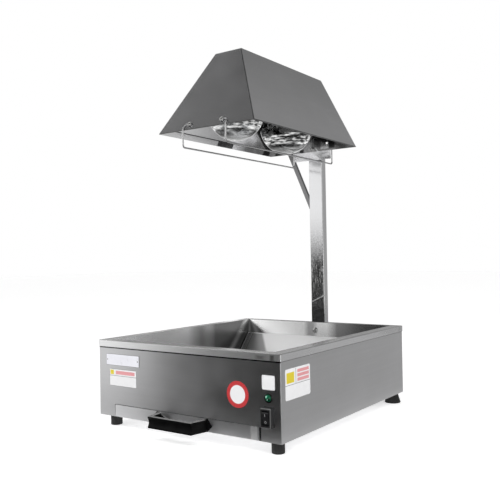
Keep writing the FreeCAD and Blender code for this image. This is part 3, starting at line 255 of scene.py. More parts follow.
world = bpy.data.worlds.new("white studio")
bpy.context.scene.world = world
world.use_nodes = True
world_tree = world.node_tree
feed_all(world_tree.nodes["Background"], Color=grey(1), Strength=light_path_white(world_tree, 1.0, 0.55))

floor_paint, floor_shader = new_material("floor paint", Base_Color=grey(0.86), Roughness=0.7,
                                         Specular_IOR_Level=0.2, Emission_Color=grey(1))
feed_all(floor_shader, Emission_Strength=light_path_white(floor_paint.node_tree, 0.46, 0.0))
floor_half = 12.0
floor_corners = [[(-floor_half, -floor_half, 0), (floor_half, -floor_half, 0)],
                 [(-floor_half, floor_half, 0), (floor_half, floor_half, 0)]]
make_piece("floor", floor_corners, grid_faces(2, 2)[:, ::-1].tolist(), floor_paint)
print("floor is", 2 * floor_half, "metres wide")

# %% [markdown]
# A photographer sets cards and flags round a steel object, out of the picture, and the steel
# shows them as light and dark bands. Most cards are flat sheets. The two in front are fans: their
# sides run out from the point where the camera's mirror image stands behind the front panel, so
# that one side of a card lands on one upright band of that panel.

# %% Shapes of the cards
mirrored_camera = np.array((0.8866, 0.746))
front_plane_y = -0.27
fan_rows = 12
fan_lift = 0.003


def fan(marks, near, far, height):
    """Points of a fan just above the floor, with a wall at its far edge where it has a height.

    A point is pivot + s * (panel mark - pivot), s being 1 on the front panel's plane.
    """
    rays = np.stack([np.asarray(marks) - mirrored_camera[0],
                     np.full(len(marks), front_plane_y - mirrored_camera[1])], axis=1)
    reach = np.linspace(near, far, fan_rows)
    flat = mirrored_camera + reach[:, None, None] * rays[None]
    points = np.concatenate([flat, np.full(flat.shape[:2] + (1,), fan_lift)], axis=2)
    wall = points[-1:].copy()
    wall[..., 2] = height
    return np.concatenate([points, wall]) if height else points


def level_sheet(x0, x1, y0, y1, z):
    """Corners of a level card."""
    return [[(x0, y0, z), (x1, y0, z)], [(x0, y1, z), (x1, y1, z)]]


def standing_sheet(left, right, z0, z1):
    """Corners of an upright card between two points on the floor plan."""
    return [[(*left, z0), (*right, z0)], [(*left, z1), (*right, z1)]]


fan_marks = np.linspace(-0.5, 0.5, 41)
print("points in the near fan:", fan(fan_marks, 1.03, 1.22, 0).size // 3)

# %% [markdown]
# Each card glows and is hidden from the camera, so it shows only as a reflection in the metal
# and the glass. A level of 1 is white paper and 0.1 is a dark flag. A row of levels along the
# card blends from one to the next, which gives the long soft gradients on the steel.

# %% A reflection card
def card_paint(name, levels):
    """Glowing material: a ramp of levels along the card's own first direction."""
    paint = bpy.data.materials.new(name)
    paint.use_nodes = True
    tree = paint.node_tree
    tree.nodes.clear()
    along = parts_of(add_node(tree, "UVMap", uv_map="card").outputs["UV"])
    ramp = add_node(tree, "ValToRGB")
    feed(ramp.inputs["Fac"], along["X"])
    if np.isscalar(levels):
        levels = [(0, levels), (1, levels)]
    brightest = max(level for _, level in levels)
    stops = ramp.color_ramp.elements
    stops.remove(stops[1])
    for index, (place, level) in enumerate(levels):
        stop = stops.new(place) if index else stops[0]
        stop.position = place
        stop.color = grey(level / brightest)
    glow = feed_all(add_node(tree, "Emission"), Strength=brightest, Color=ramp.outputs["Color"])
    feed_all(add_node(tree, "OutputMaterial"), Surface=glow["Emission"])
    return paint


def reflection_card(name, corners, levels):
    """Card over a grid of points that only mirror-like rays see, its levels spread from left to right."""
    corners = np.asarray(corners, float)
    rows, columns = corners.shape[:2]
    card = make_piece(name, corners, grid_faces(rows, columns).tolist(), card_paint(name + " paint", levels))
    spread = np.zeros((rows, columns, 2))
    spread[..., 0] = np.linspace(0, 1, columns)[None]
    spread[..., 1] = np.linspace(0, 1, rows)[:, None]
    corner_numbers = np.empty(len(card.data.loops), int)
    card.data.loops.foreach_get("vertex_index", corner_numbers)
    layer = card.data.uv_layers.new(name="card")
    layer.data.foreach_set("uv", spread.reshape(-1, 2)[corner_numbers].ravel())
    card.visible_camera = False
    card.visible_diffuse = False
    card.visible_shadow = False


print("cards can be made")

# %% [markdown]
# The levels were found one surface at a time. The front panel runs from light to dark because its
# two fans do, the post fades from white to black because its card ends, and the side panel is
# even because one grey sheet lies to its right. The card for the post is turned on its side, so
# that its levels run upward.

# %% Place the cards
cards = {
    "card_front_far": (fan(fan_marks, 1.22, 3.0, 0.42), [
        (0.0, 1.1), (0.29, 1.05), (0.35, 0.88), (0.43, 0.4), (0.49, 0.04), (0.56, 0.02), (1.0, 0.02)]),
    "card_front_near": (fan(fan_marks, 1.03, 1.22, 0), [
        (0.0, 0.72), (0.3, 0.55), (0.42, 0.22), (0.55, 0.04), (1.0, 0.03)]),
    "card_front_high": (standing_sheet((-2.6, -2.2), (1.8, -2.9), 0.42, 2.2), [
        (0.0, 1.25), (0.135, 1.25), (0.18, 0.6), (0.23, 0.15), (0.3, 0.05), (1.0, 0.03)]),
    "card_post": (np.swapaxes(standing_sheet((-0.55, 0.05), (-0.2, -0.26), 0.355, 0.69), 0, 1), [
        (0.0, 0.25), (0.12, 0.5), (0.24, 0.72), (0.42, 0.9), (1.0, 0.9)]),
    "card_right_back": (standing_sheet((2.4, -1.0), (1.2, 3.0), 0.0, 2.2), 0.34),
    "card_right_floor": (level_sheet(0.26, 2.4, -0.6, 1.0, 0.002), 0.39),
    "card_middle_floor": (level_sheet(0.26, 2.4, 1.0, 1.35, 0.002), 0.62),
    "card_back_floor": (level_sheet(0.0, 2.4, 1.35, 3.0, 0.002), 0.3),
    "card_left_back": (standing_sheet((-2.4, 3.0), (-2.4, -0.26), 0.0, 2.2), [
        (0.0, 0.3), (0.6, 0.5), (1.0, 0.75)]),
    "card_left_floor": (level_sheet(-2.4, -0.26, -0.27, 3.2, 0.002), [(0.0, 0.6), (1.0, 0.38)]),
    "card_back_wall": (standing_sheet((2.2, 3.6), (-2.4, 3.2), 0.0, 1.6), [
        (0.0, 0.34), (0.5, 0.6), (1.0, 0.3)]),
    "card_top_left": (level_sheet(-2.8, 0.2, -2.4, -0.51, 2.3), [
        (0.0, 0.23), (0.4, 0.19), (0.65, 0.12), (1.0, 0.09)]),
    "card_top_right": (level_sheet(0.2, 3.0, -2.4, 1.0, 2.3), 0.12),
    "card_top_over": (level_sheet(-2.8, -0.3, -0.48, 0.9, 2.3), 1.0),
    "card_top_back": ([[(-1.2, 1.1, 2.3), (2.2, 1.1, 2.3)], [(-1.2, 3.4, 1.6), (2.2, 3.4, 1.6)]], 0.29),
}
for card_name, (card_corners, card_levels) in cards.items():
    reflection_card(card_name, card_corners, card_levels)
print("cards:", len(cards))

# %% [markdown]
# The lamps are large and soft. They light what isn't bare metal, and stay out of the mirrors,
# because the cards already stand there. The Standard view shows a colour as it is written.

# %% Soft lamps
def soft_lamp(name, place, aim, width, power):
    """Square area lamp at a place, turned towards a point."""
    data = bpy.data.lights.new(name, "AREA")
    data.size = width
    data.energy = power
    lamp = bpy.data.objects.new(name, data)
    bpy.context.scene.collection.objects.link(lamp)
    lamp.location = place
    lamp.rotation_euler = (Vector(aim) - Vector(place)).to_track_quat("-Z", "Y").to_euler()
    lamp.visible_glossy = False


object_middle = (0, 0, 0.3)
soft_lamp("lamp_left", (-1.6, -1.8, 2.2), object_middle, 1.6, 32)
soft_lamp("lamp_right", (2.0, -1.2, 2.0), object_middle, 1.6, 32)
bpy.context.scene.view_settings.view_transform = "Standard"
print("lamps ready")

# %% [markdown]
# Brushed sheet has fine lines that all run one way. A noise pattern that is stretched along the
# line and squeezed across it makes them: squeezed in height it gives level lines on every wall,
# and on level faces a second pattern gives lines from left to right. The lines leave this group
# as a value round one half, and with them comes a slow cloudiness for handled metal.

# %% Brush lines
def group_tree(name, inputs, outputs):
    """Empty node group with its named inputs and outputs."""
    tree = bpy.data.node_groups.new(name, "ShaderNodeTree")
    for label, kind, value in inputs:
        socket = tree.interface.new_socket(label, in_out="INPUT", socket_type="NodeSocket" + kind)
        socket.default_value = value
    for label, kind in outputs:
        tree.interface.new_socket(label, in_out="OUTPUT", socket_type="NodeSocket" + kind)
    return tree, tree.nodes.new("NodeGroupInput").outputs, tree.nodes.new("NodeGroupOutput").inputs


def scaled_noise(vector, scale, detail, roughness=0.5):
    """Noise value of a vector that is scaled on each axis first."""
    scaled = combine_vectors("MULTIPLY", vector, scale)
    noise = add_node(vector.id_data, "TexNoise")
    return feed_all(noise, Scale=1.0, Detail=detail, Roughness=roughness, Vector=scaled)["Fac"]


def build_brush_lines():
    """Group with level lines on walls, left to right lines on level faces, and blotches on both."""
    tree, _, output = group_tree("Brush Lines", [], [("Lines", "Float"), ("Blotches", "Float")])
    place = object_place(tree)
    on_walls = scaled_noise(place, (2.0, 2.0, 170.0), 1.0)
    on_level = scaled_noise(place, (2.0, 170.0, 2.0), 1.0)
    upward = combine("ABSOLUTE", parts_of(surface_normal(tree))["Z"])
    is_level = span(upward, 0, 1, 0.85, 0.95)
    feed(output["Lines"], mixed(is_level, on_walls, on_level, "FLOAT"))
    feed(output["Blotches"], scaled_noise(place, (9.0, 9.0, 14.0), 4.0, 0.55))
    return tree


brush_lines = build_brush_lines()
print("group:", brush_lines.name)

# %% [markdown]
# Brushed steel stretches every reflection across its lines, because each line is a tiny groove.
# The shader does that with its anisotropy, once it knows which way to stretch. The lines' own
# direction is level and lies in the surface: up crossed with the surface's normal. The normal
# crossed with that direction then runs across the lines. The imported normals tilt by a hair at
# the folds, which would show as smears, so a group takes such tiny tilts away first.

# %% Direction across the lines
smallest_tilt = 0.06


def build_steady_normal():
    """Group with the surface's normal, each part of it moved towards 0 by the smallest tilt."""
    tree, _, output = group_tree("Steady Normal", [], [("Normal", "Vector")])
    normal = surface_normal(tree)
    raised = combine_vectors("MAXIMUM", normal, (-smallest_tilt,) * 3)
    tilt = combine_vectors("MINIMUM", raised, (smallest_tilt,) * 3)
    feed(output["Normal"], combine_vectors("NORMALIZE", combine_vectors("SUBTRACT", normal, tilt)))
    return tree


steady_group = build_steady_normal()


def steady_normal(tree):
    """Normal without its tiny tilts."""
    return add_node(tree, "Group", node_tree=steady_group).outputs["Normal"]


def across_lines(tree):
    """Direction in the surface that runs across the brush lines."""
    normal = steady_normal(tree)
    level = combine_vectors("CROSS_PRODUCT", (0, 0, 1), normal)
    nudged = combine_vectors("ADD", level, (0.01, 0, 0))
    return combine_vectors("NORMALIZE", combine_vectors("CROSS_PRODUCT", normal, nudged))


print("group:", steady_group.name)

# %% [markdown]
# Steel that stands near other things mirrors them in small shapes with soft edges, and it has
# folds, dents and worn places. Each of these is a patch: a box in space, faded outside its faces.
# The mirrored shapes and the light and dark beside the folds are thus painted reflections and
# painted shade.
# The fade is how far a point lies outside the box, divided by the softness of that edge. One
# group does it for every material.

# %% Patches
def build_patch():
    """Group that is 1 inside a box and fades to 0 over a soft edge outside it."""
    tree, start, output = group_tree("Patch", [
        ("Low", "Vector", (0, 0, 0)), ("High", "Vector", (1, 1, 1)),
        ("Soft", "Vector", (0.001, 0.001, 0.001))], [("Mask", "Float")])
    place = object_place(tree)
    below = combine_vectors("SUBTRACT", start["Low"], place)
    above = combine_vectors("SUBTRACT", place, start["High"])
    outside = combine_vectors("MAXIMUM", below, above)
    softened = parts_of(combine_vectors("DIVIDE", outside, start["Soft"]))
    farthest = chain("MAXIMUM", softened["X"], softened["Y"], softened["Z"])
    feed(output["Mask"], span(farthest, 1, 0, 0, 1))
    return tree


patch_group = build_patch()
print("group:", patch_group.name)

# %% [markdown]
# Slanted shapes, such as the mirror image of an edge, need a cut that doesn't follow the axes.
# A plane does it: the dot product of a place and a direction says how far the place lies along
# that direction, and beyond a given distance the group is 1.

# %% Slanted sides
def build_side():
    """Group that is 0 before a plane and rises to 1 over a soft edge beyond it."""
    tree, start, output = group_tree("Side", [
        ("Direction", "Vector", (1, 0, 0)), ("Distance", "Float", 0.0),
        ("Soft", "Float", 0.001)], [("Mask", "Float")])
    reach = combine_vectors("DOT_PRODUCT", object_place(tree), start["Direction"])
    beyond = combine("SUBTRACT", reach, start["Distance"])
    feed(output["Mask"], span(beyond, 0, 1, 0, start["Soft"]))
    return tree


side_group = build_side()
print("group:", side_group.name)

# %% [markdown]
# A patch changes a colour or a roughness where its mask is 1. A list of patches is laid on in
# order, so a later one covers an earlier one. Each is written as its low corner, its high corner,
# the softness of its edges, the new value, and its slanted sides if it has any.

# %% Lay patches on
def placed_group(tree, group, **values):
    """Mask of a group that is placed with its own values."""
    return feed_all(add_node(tree, "Group", node_tree=group), **values)["Mask"]


def patch_mask(tree, low, high, soft, sides=()):
    """Mask of one patch: a box with soft edges, cut by slanted sides where it has any."""
    mask = placed_group(tree, patch_group, Low=low, High=high, Soft=soft)
    for direction, distance, side_soft in sides:
        side = placed_group(tree, side_group, Direction=direction, Distance=distance, Soft=side_soft)
        mask = combine("MULTIPLY", mask, side)
    return mask


def painted(tree, colour, patches):
    """Colour that is changed inside patches."""
    for low, high, soft, paint, *sides in patches:
        new_colour = grey(paint) if np.isscalar(paint) else opaque(paint)
        colour = mixed(patch_mask(tree, low, high, soft, sides), colour, new_colour)
    return colour


fine = (0.0006, 0.0006, 0.0006)
print("a fine edge is", fine[0] * 1000, "mm wide")

# %% [markdown]
# Stainless sheet in one function. The lines and the blotches vary its grey and its roughness a
# little, patches add the painted reflections, painted shade and marks that are particular to one
# piece, and a piece may bring its own shade, its own lean of the surface or its own wear. The last
# number that a steel takes is how strongly its reflections are stretched.

# %% Brushed steel
worn_roughness = 0.7


def brushed_steel(name, tone, roughness, spread, anisotropy=0.75, patches=(), scuffs=(), shade=None,
                  lean=None, wear=None):
    """Stainless sheet: tone is its grey, spread how much lines and blotches vary it."""
    material, shader = new_material(name, Metallic=1.0, Anisotropic=anisotropy)
    tree = material.node_tree
    lines = add_node(tree, "Group", node_tree=brush_lines).outputs
    fine_part = combine("MULTIPLY", lines["Lines"], 0.25)
    variation = combine("MULTIPLY_ADD", lines["Blotches"], 0.75, fine_part)
    colour = mixed(span(variation, 0, 1), grey(tone * (1 - spread), 0.01),
                   grey(tone * (1 + spread), 0.015))
    colour = painted(tree, colour, patches)
    if shade:
        colour = shaded(colour, shade(tree))
    rough = span(lines["Blotches"], roughness * 0.85, roughness * 1.15)
    rough = painted(tree, rough, scuffs)
    if wear:
        rough = mixed(wear(tree), rough, worn_roughness, "FLOAT")
    feed_all(shader, Base_Color=colour, Roughness=rough, Tangent=across_lines(tree),
             Normal=lean(tree) if lean else steady_normal(tree))
    return material


finishes = {}
own_finish = {}
print("brushed steel ready")

# %% [markdown]
# The casing is one folded sheet, and its front face takes a painted shade a little darker than its
# sides. The dark lines of its patches are painted shadows in the gaps under the rim's skirt and
# beside the drawer's front, which are too narrow to come out of the light alone. The drawer's front
# is a brighter sheet of its own, lighter and rougher near its right end, and painted dark at that
# end as the shadow in its gap.

# %% Casing and drawer
def front_shade(tree):
    """Painted shade of the casing's front face, a little darker than its sides."""
    return span(parts_of(object_place(tree))["Y"], 0.89, 1.0, -0.2688, -0.2684)


casing_patches = [
    ((-0.3, -0.3, 0.1688), (0.3, -0.2685, 0.1716), fine, 0.03),
    ((-0.3, -0.268, 0.17), (0.3, 0.35, 0.1714), fine, 0.3),
    ((0.1858, -0.28, 0.02), (0.1885, -0.2685, 0.0495), fine, 0.03)]
right_strip_low, right_strip_high = (0.166, -0.4, 0.0), (0.1805, 0.0, 0.2)
# The drawer's front is lighter and rougher in a strip near its right end, and painted dark beyond it as the
# shadow in its gap.
drawer_patches = [
    (right_strip_low, right_strip_high, fine, 1.0),
    ((0.1852, -0.4, 0.0), (0.2, 0.0, 0.2), fine, 0.06)]
finishes["brushed_casing"] = brushed_steel("brushed casing", 0.7, 0.335, 0.05, 0.8, casing_patches,
                                           shade=front_shade)
own_finish["drawer_front"] = brushed_steel("brushed drawer", 0.86, 0.335, 0.05, 0.8, drawer_patches,
                                           [(right_strip_low, right_strip_high, fine, 0.45)])
print("casing patches:", len(casing_patches))

# %% [markdown]
# The rim, the well and the tray are satin sheets that mirror each other many times over. Their
# patches are painted reflections and painted shade: they set the grey of each wall, the bright and
# dark strips beside the folds, and the slanted shapes where one wall shows in the next. Each sheet
# has a helper that knows where it stands, so a patch on it is only its reach, the softness of its
# edges, its level and its slanted sides.

# %% Places on the rim and the well
def on_rim(x0, x1, y0, y1, soft_x, soft_y, level):
    """Patch on the flat top of the rim."""
    return ((x0, y0, 0.1846), (x1, y1, 0.19), (soft_x, soft_y, 0.001), level)


def on_left_wall(y0, y1, soft_y, level, *sides, z0=0.0):
    """Patch on the well's left wall."""
    return ((-0.2115, y0, z0), (-0.2085, y1, 0.1845), (0.001, soft_y, 0.001), level, *sides)


def on_slope(x0, x1, soft_x, level, *sides):
    """Patch on the tray's sloped back."""
    return ((x0, 0.1, 0.0), (x1, 0.2622, 0.1472), (soft_x, 0.001, 0.0005), level, *sides)


def on_band(x0, x1, soft_x, level, *sides, z0=0.1487):
    """Patch on the narrow upright band behind the slope."""
    return ((x0, 0.258, z0), (x1, 0.266, 0.1846), (soft_x, 0.002, 0.0004), level, *sides)


print("a patch on the slope:", on_slope(-0.206, 0.206, 0.001, 1.0))

# %% [markdown]
# The rim's top is painted light on the left and at its front corners, and darker elsewhere as a
# painted reflection of a grey ceiling. Its front skirt is painted bright, with two small marks. The
# left wall takes a painted shade that darkens it towards the back, where a painted light stripe of
# a reflection crosses it. The slope is painted bright, with a painted dark slanted corner of shade
# and two painted lines, light and dark, along its left edge. The band behind it is painted bright,
# with a painted dark corner of shade, painted dark reflections below the bolt and on its right
# part, and a painted bright line at its fold.

# %% Rim, well and tray
front_skirt = ((-0.3, -0.28, 0.16), (0.3, -0.2695, 0.1835), (0.001, 0.0004, 0.001))
rim_patches = [
    on_rim(-0.3, -0.212, -0.2, 0.35, 0.001, 0.06, 1.0),
    on_band(-0.21, 0.06, 0.001, 1.0),
    on_rim(-0.209, 0.3, -0.3, 0.35, 0.002, 0.001, 0.42),
    on_rim(-0.3, -0.2, -0.3, -0.2, 0.04, 0.06, 0.75),
    on_rim(0.19, 0.3, -0.3, -0.1, 0.05, 0.12, 0.66),
    (*front_skirt, 1.0),
    ((0.186, -0.28, 0.174), (0.194, -0.2695, 0.178), (0.01, 0.0004, 0.003), 0.6),
    ((0.214, -0.28, 0.173), (0.218, -0.2695, 0.18), (0.004, 0.0004, 0.003), 0.4)]
left_wall_patches = [
    on_left_wall(-0.3, -0.05, 0.08, 1.0),
    on_left_wall(0.05, 0.06, 0.05, 0.33),
    on_left_wall(0.11, 0.3, 0.05, 0.19),
    on_left_wall(0.11, 0.3, 0.02, 0.7, ((0, 0.707, -0.707), 0.034, 0.012),
                 ((0, -0.707, 0.707), -0.06, 0.012)),
    on_left_wall(0.261, 0.3, 0.003, 0.42, z0=0.1)]
slope_patches = [
    on_slope(-0.206, 0.206, 0.001, 1.0),
    on_slope(-0.2075, 0.0, 0.0005, 0.46, ((-0.751, 0, -0.66), 0.0245, 0.006),
             ((0, 0.743, -0.669), 0.0, 0.01)),
    on_slope(-0.2, -0.1985, 0.0005, 0.7),
    on_slope(-0.1978, -0.1965, 0.0004, 0.22)]
band_patches = [
    on_band(-0.2095, -0.1, 0.0004, 0.24, ((-0.59, 0, -0.808), -0.0282, 0.005), z0=0.1485),
    on_band(-0.02, -0.006, 0.014, 0.5),
    on_band(0.065, 0.21, 0.03, 0.33),
    ((-0.2, 0.25, 0.1468), (0.21, 0.266, 0.1485), (0.001, 0.002, 0.0005), 1.0)]
well_patches = rim_patches + left_wall_patches + slope_patches + band_patches
slope_scuff = ((-0.205, 0.05, 0.03), (0.205, 0.2625, 0.1475), (0.001, 0.001, 0.001), 0.5)
well_scuffs = [(*front_skirt, 0.42), slope_scuff]
print("well patches:", len(well_patches))

# %% [markdown]
# The well's back band is a little dished, which a real sheet gets from its welds. Leaning its
# normal upward makes it mirror the white above. Only what faces forward at the band's depth leans.

# %% Satin finish of the well
band_rise = 0.28


def band_lean(tree):
    """Normal that leans upward on the well's back band, as if the sheet were a little dished."""
    normal = steady_normal(tree)
    behind = span(parts_of(object_place(tree))["Y"], 0.0, 1.0, 0.255, 0.256)
    forward = span(parts_of(normal)["Y"], 1.0, 0.0, -0.95, -0.9)
    rise = add_node(tree, "CombineXYZ")
    leaning = feed_all(rise, Z=chain("MULTIPLY", behind, forward, band_rise))["Vector"]
    return combine_vectors("NORMALIZE", combine_vectors("ADD", normal, leaning))


finishes["satin_well"] = brushed_steel("satin well", 0.82, 0.22, 0.04, 0.5, well_patches, well_scuffs,
                                       lean=band_lean)
print("band leans by", band_rise)

# %% [markdown]
# The hood is open below, so its inside shows. There a painted shade darkens it from the front to
# the back, a painted shadow line marks the hem's fold, and the folded hem carries painted
# reflections of the lamps and the guards as short light and dark strips, with painted dark shade
# beside the rear lamp and a darker hem on the right. All that faces down takes this painted shade,
# and the outside is painted a little darker towards its top.

# %% Shade of the hood
# Painted reflections and painted shade on the hem and the inside of the hood.
hem_patches = [
    ((-0.2, 0.021, 0.62), (-0.08, 0.082, 0.641), fine, 0.1),
    ((-0.2, 0.133, 0.62), (-0.08, 0.172, 0.641), fine, 0.75),
    ((-0.2, 0.219, 0.62), (-0.08, 0.248, 0.642), fine, 0.06),
    ((-0.2, 0.15, 0.643), (-0.05, 0.3, 0.8), (0.001, 0.003, 0.001), 0.05, ((0, 0.455, 0.89), 0.675, 0.003)),
    ((0.05, -0.2, 0.62), (0.2, 0.3, 0.632), fine, 0.25)]
hem_fold_z, hem_fold_half = 0.6421, 0.0012


def inside_shade(tree):
    """Painted shade of the hood: darker from the front to the back on all that faces down, with painted
    strips on the hem, and darker towards the top outside.
    """
    place = parts_of(object_place(tree))
    at_fold = combine("COMPARE", place["Z"], hem_fold_z, hem_fold_half)
    inside = chain("MULTIPLY", span(place["Y"], 1.5, 0.5, -0.14, 0.2), span(at_fold, 1.0, 0.15, 0, 1),
                   painted(tree, grey(1), hem_patches))
    outside = span(place["Z"], 1.05, 0.8, 0.66, 0.8)
    faces_down = span(parts_of(surface_normal(tree))["Z"], 1.0, 0.0, -0.06, -0.02)
    return mixed(faces_down, outside, inside, "FLOAT")


print("hem patches:", len(hem_patches))

# %% [markdown]
# The hood's three sheets differ a little: the front panel's grey is set darker than the wrap's, as
# painted shade. The wrap is painted dark along its lower edge on the right as shade. The front
# panel has a dark seam along its right corner and a painted dark hem. The rear panel shows only its
# inside to the camera: painted dark as shade, darkest above, with a painted highlight of a nut, a
# painted shadow beside it, a dark spot and a thin painted reflection of a line. A slanted side just
# inside the sheet keeps those off its outer face.

# %% Sheets of the hood
wrap_patches = [((0.12, -0.3, 0.62), (0.2, 0.3, 0.6317), fine, 0.12)]
front_patches = [
    ((-0.2, -0.3, 0.6), (0.2, -0.05, 0.85), fine, 0.05, ((0.891, 0, 0.4545), 0.3979, 0.0006)),
    ((-0.2, -0.3, 0.62), (0.2, -0.17, 0.6316), fine, 0.3)]
rear_inside = ((0, -0.9986, -0.053), -0.297, 0.0004)
spot_edge = (0.003, 0.001, 0.003)
rear_patches = [
    ((-0.2, 0.0, 0.62), (0.2, 0.3, 0.7), fine, 0.4, rear_inside),
    ((-0.2, 0.0, 0.664), (0.2, 0.3, 0.82), (0.001, 0.001, 0.014), 0.1, rear_inside),
    ((0.029, 0.0, 0.637), (0.05, 0.3, 0.652), spot_edge, 1.0, rear_inside),
    ((0.053, 0.0, 0.637), (0.066, 0.3, 0.656), spot_edge, 0.08, rear_inside),
    ((-0.034, 0.0, 0.628), (-0.024, 0.3, 0.638), (0.002, 0.001, 0.002), 0.05, rear_inside),
    ((0.011, 0.0, 0.626), (0.024, 0.3, 0.64), fine, 1.0, rear_inside,
     ((0.796, 0, 0.606), 0.3961, 0.0008), ((-0.796, 0, -0.606), -0.3985, 0.0008))]
finishes["brushed_hood"] = brushed_steel("brushed hood", 0.66, 0.2, 0.04, 0.4, wrap_patches,
                                         shade=inside_shade)
own_finish["hood_front"] = brushed_steel("hood front steel", 0.61, 0.2, 0.04, 0.4, front_patches,
                                         shade=inside_shade)
own_finish["hood_rear"] = brushed_steel("hood rear steel", 0.62, 0.2, 0.04, 0.4, rear_patches)
print("rear panel patches:", len(rear_patches))

# %% [markdown]
# The post is a polished tube. Low down its front is mottled and worn: a noise darkens and
# lightens it there, a finer one with upright streaks makes it dull in places, and one scratch
# runs across. A dull place scatters the light around it, so it shows light on a dark reflection.

# %% Post
post_front_y = (0.2815, 0.2818)


def post_shade(tree):
    """Shade of the post: its front is mottled low down, and even higher up."""
    place = object_place(tree)
    parts = parts_of(place)
    mottle = span(scaled_noise(place, (160.0, 160.0, 260.0), 5.0, 0.7), 0.2, 1.8)
    low_down = span(parts["Z"], 1, 0, 0.28, 0.44)
    in_front = span(parts["Y"], 1, 0.12, *post_front_y)
    return mixed(combine("MULTIPLY", low_down, in_front), 1.0, mottle, "FLOAT")


def post_wear(tree):
    """Mask of the dull upright streaks on the lower part of the post's front."""
    place = object_place(tree)
    parts = parts_of(place)
    streaks = span(scaled_noise(place, (340.0, 340.0, 60.0), 4.0, 0.65), 0, 0.42, 0.44, 0.7)
    in_front = span(parts["Y"], 1, 0, *post_front_y)
    below = span(parts["Z"], 1, 0, 0.35, 0.42)
    above = span(parts["Z"], 0.3, 1, 0.24, 0.31)
    return chain("MULTIPLY", streaks, in_front, below, above)


# The post's front is painted dark low down, as a painted dark reflection.
post_patches = [((-0.03, 0.25, 0.1), (0.03, 0.2815, 0.215), (0.001, 0.0003, 0.03), 0.15)]
post_scratch = [((-0.03, 0.25, 0.1), (0.019, 0.2815, 0.4), fine, 0.7,
                 ((-0.42, 0, 0.91), 0.2215, 0.001), ((0.42, 0, -0.91), -0.2245, 0.001))]
finishes["polished_post"] = brushed_steel("polished post", 0.88, 0.14, 0.03, 0.3, post_patches,
                                          post_scratch, post_shade, wear=post_wear)
print("post finish:", finishes["polished_post"].name)

# %% [markdown]
# The other steel pieces need less. The wire guards are duller than the sheets and have a painted
# highlight along their lowest run, the head plate is a pale satin sheet, and the brace is a dark
# strip. Plain mill steel serves the rails, spacers and other hidden strips.

# %% Wires, plates and strips
# Painted highlight along the lowest run of the guards.
guard_patches = [((-0.1, -0.2, 0.6), (0.1, 0.3, 0.637), fine, 1.0)]
guard_wire = brushed_steel("guard wire", 0.55, 0.4, 0.04, 0.2, guard_patches)
own_finish["guard_left"] = own_finish["guard_right"] = guard_wire
own_finish["head_plate"] = brushed_steel("head plate steel", 0.98, 0.16, 0.02, 0.2)
own_finish["brace"] = brushed_steel("brace steel", 0.26, 0.22, 0.05)
finishes["mill_steel"] = brushed_steel("mill steel", 0.74, 0.35, 0.06, 0.4)
print("steel finishes:", len(finishes), "and own ones:", len(own_finish))

# %% [markdown]
# The small metal pieces are smooth: zinc screws, pale rivets and the mirrored bowls. They only
# need a slight change of tone and roughness over the surface. The bowls are pressed into ripples,
# which a bump makes from rounded cells, and painted dark reflections break their mirror into shards.

# %% Smooth metals
def bumped(height, strength, distance):
    """Normal of a surface with a fine relief."""
    relief = add_node(height.id_data, "Bump")
    return feed_all(relief, Strength=strength, Distance=distance, Height=height)["Normal"]


def smooth_metal(name, colour, roughness, spread=0.06, ripple=0.0):
    """Bright metal with a faint cloudiness, and ripples where its surface is pressed."""
    material, shader = new_material(name, Metallic=1.0)
    tree = material.node_tree
    place = object_place(tree)
    cloud = scaled_noise(place, (60.0, 60.0, 60.0), 3.0)
    tint = mixed(span(cloud, 0, 1), opaque(colour, 1 - spread), opaque(colour, 1 + spread))
    if ripple:
        cells = feed_all(add_node(tree, "TexVoronoi", feature="SMOOTH_F1"), Scale=55.0, Vector=place)
        feed_all(shader, Normal=bumped(cells["Distance"], ripple, 0.012))
        # Painted dark reflections in shards on the pressed bowls.
        shards = scaled_noise(place, (130.0, 130.0, 260.0), 1.0)
        tint = shaded(tint, span(shards, 0.02, 1.0, 0.49, 0.55))
    feed_all(shader, Base_Color=tint, Roughness=span(cloud, roughness * 0.8, roughness * 1.2))
    return material


finishes["zinc_fastener"] = smooth_metal("zinc fastener", (0.55, 0.55, 0.54), 0.16)
finishes["lamp_mirror"] = smooth_metal("lamp mirror", (0.9, 0.9, 0.89), 0.05, ripple=0.9)
finishes["lamp_cap_brass"] = smooth_metal("lamp cap", (0.72, 0.62, 0.4), 0.36)
finishes["filament_wire"] = smooth_metal("filament wire", (0.35, 0.33, 0.31), 0.4)
finishes["pilot_ring_metal"] = smooth_metal("pilot ring", (0.06, 0.06, 0.06), 0.35)
own_finish["rim_rivets"] = smooth_metal("pale rivet", (0.97, 0.97, 0.97), 0.45)
own_finish["guard_nuts"] = smooth_metal("bright nut", (0.95, 0.95, 0.94), 0.12)
own_finish["head_nuts"] = smooth_metal("dull nut", (0.6, 0.6, 0.6), 0.3)
print("finishes so far:", len(finishes))

# %% [markdown]
# Moulded plastic and rubber have a fine pebbled skin. One noise gives a little bump and breaks
# up the gloss, and a slower one lightens the worn places. Level faces may take a colour of their
# own, as the lighter grey top of the black handle does.

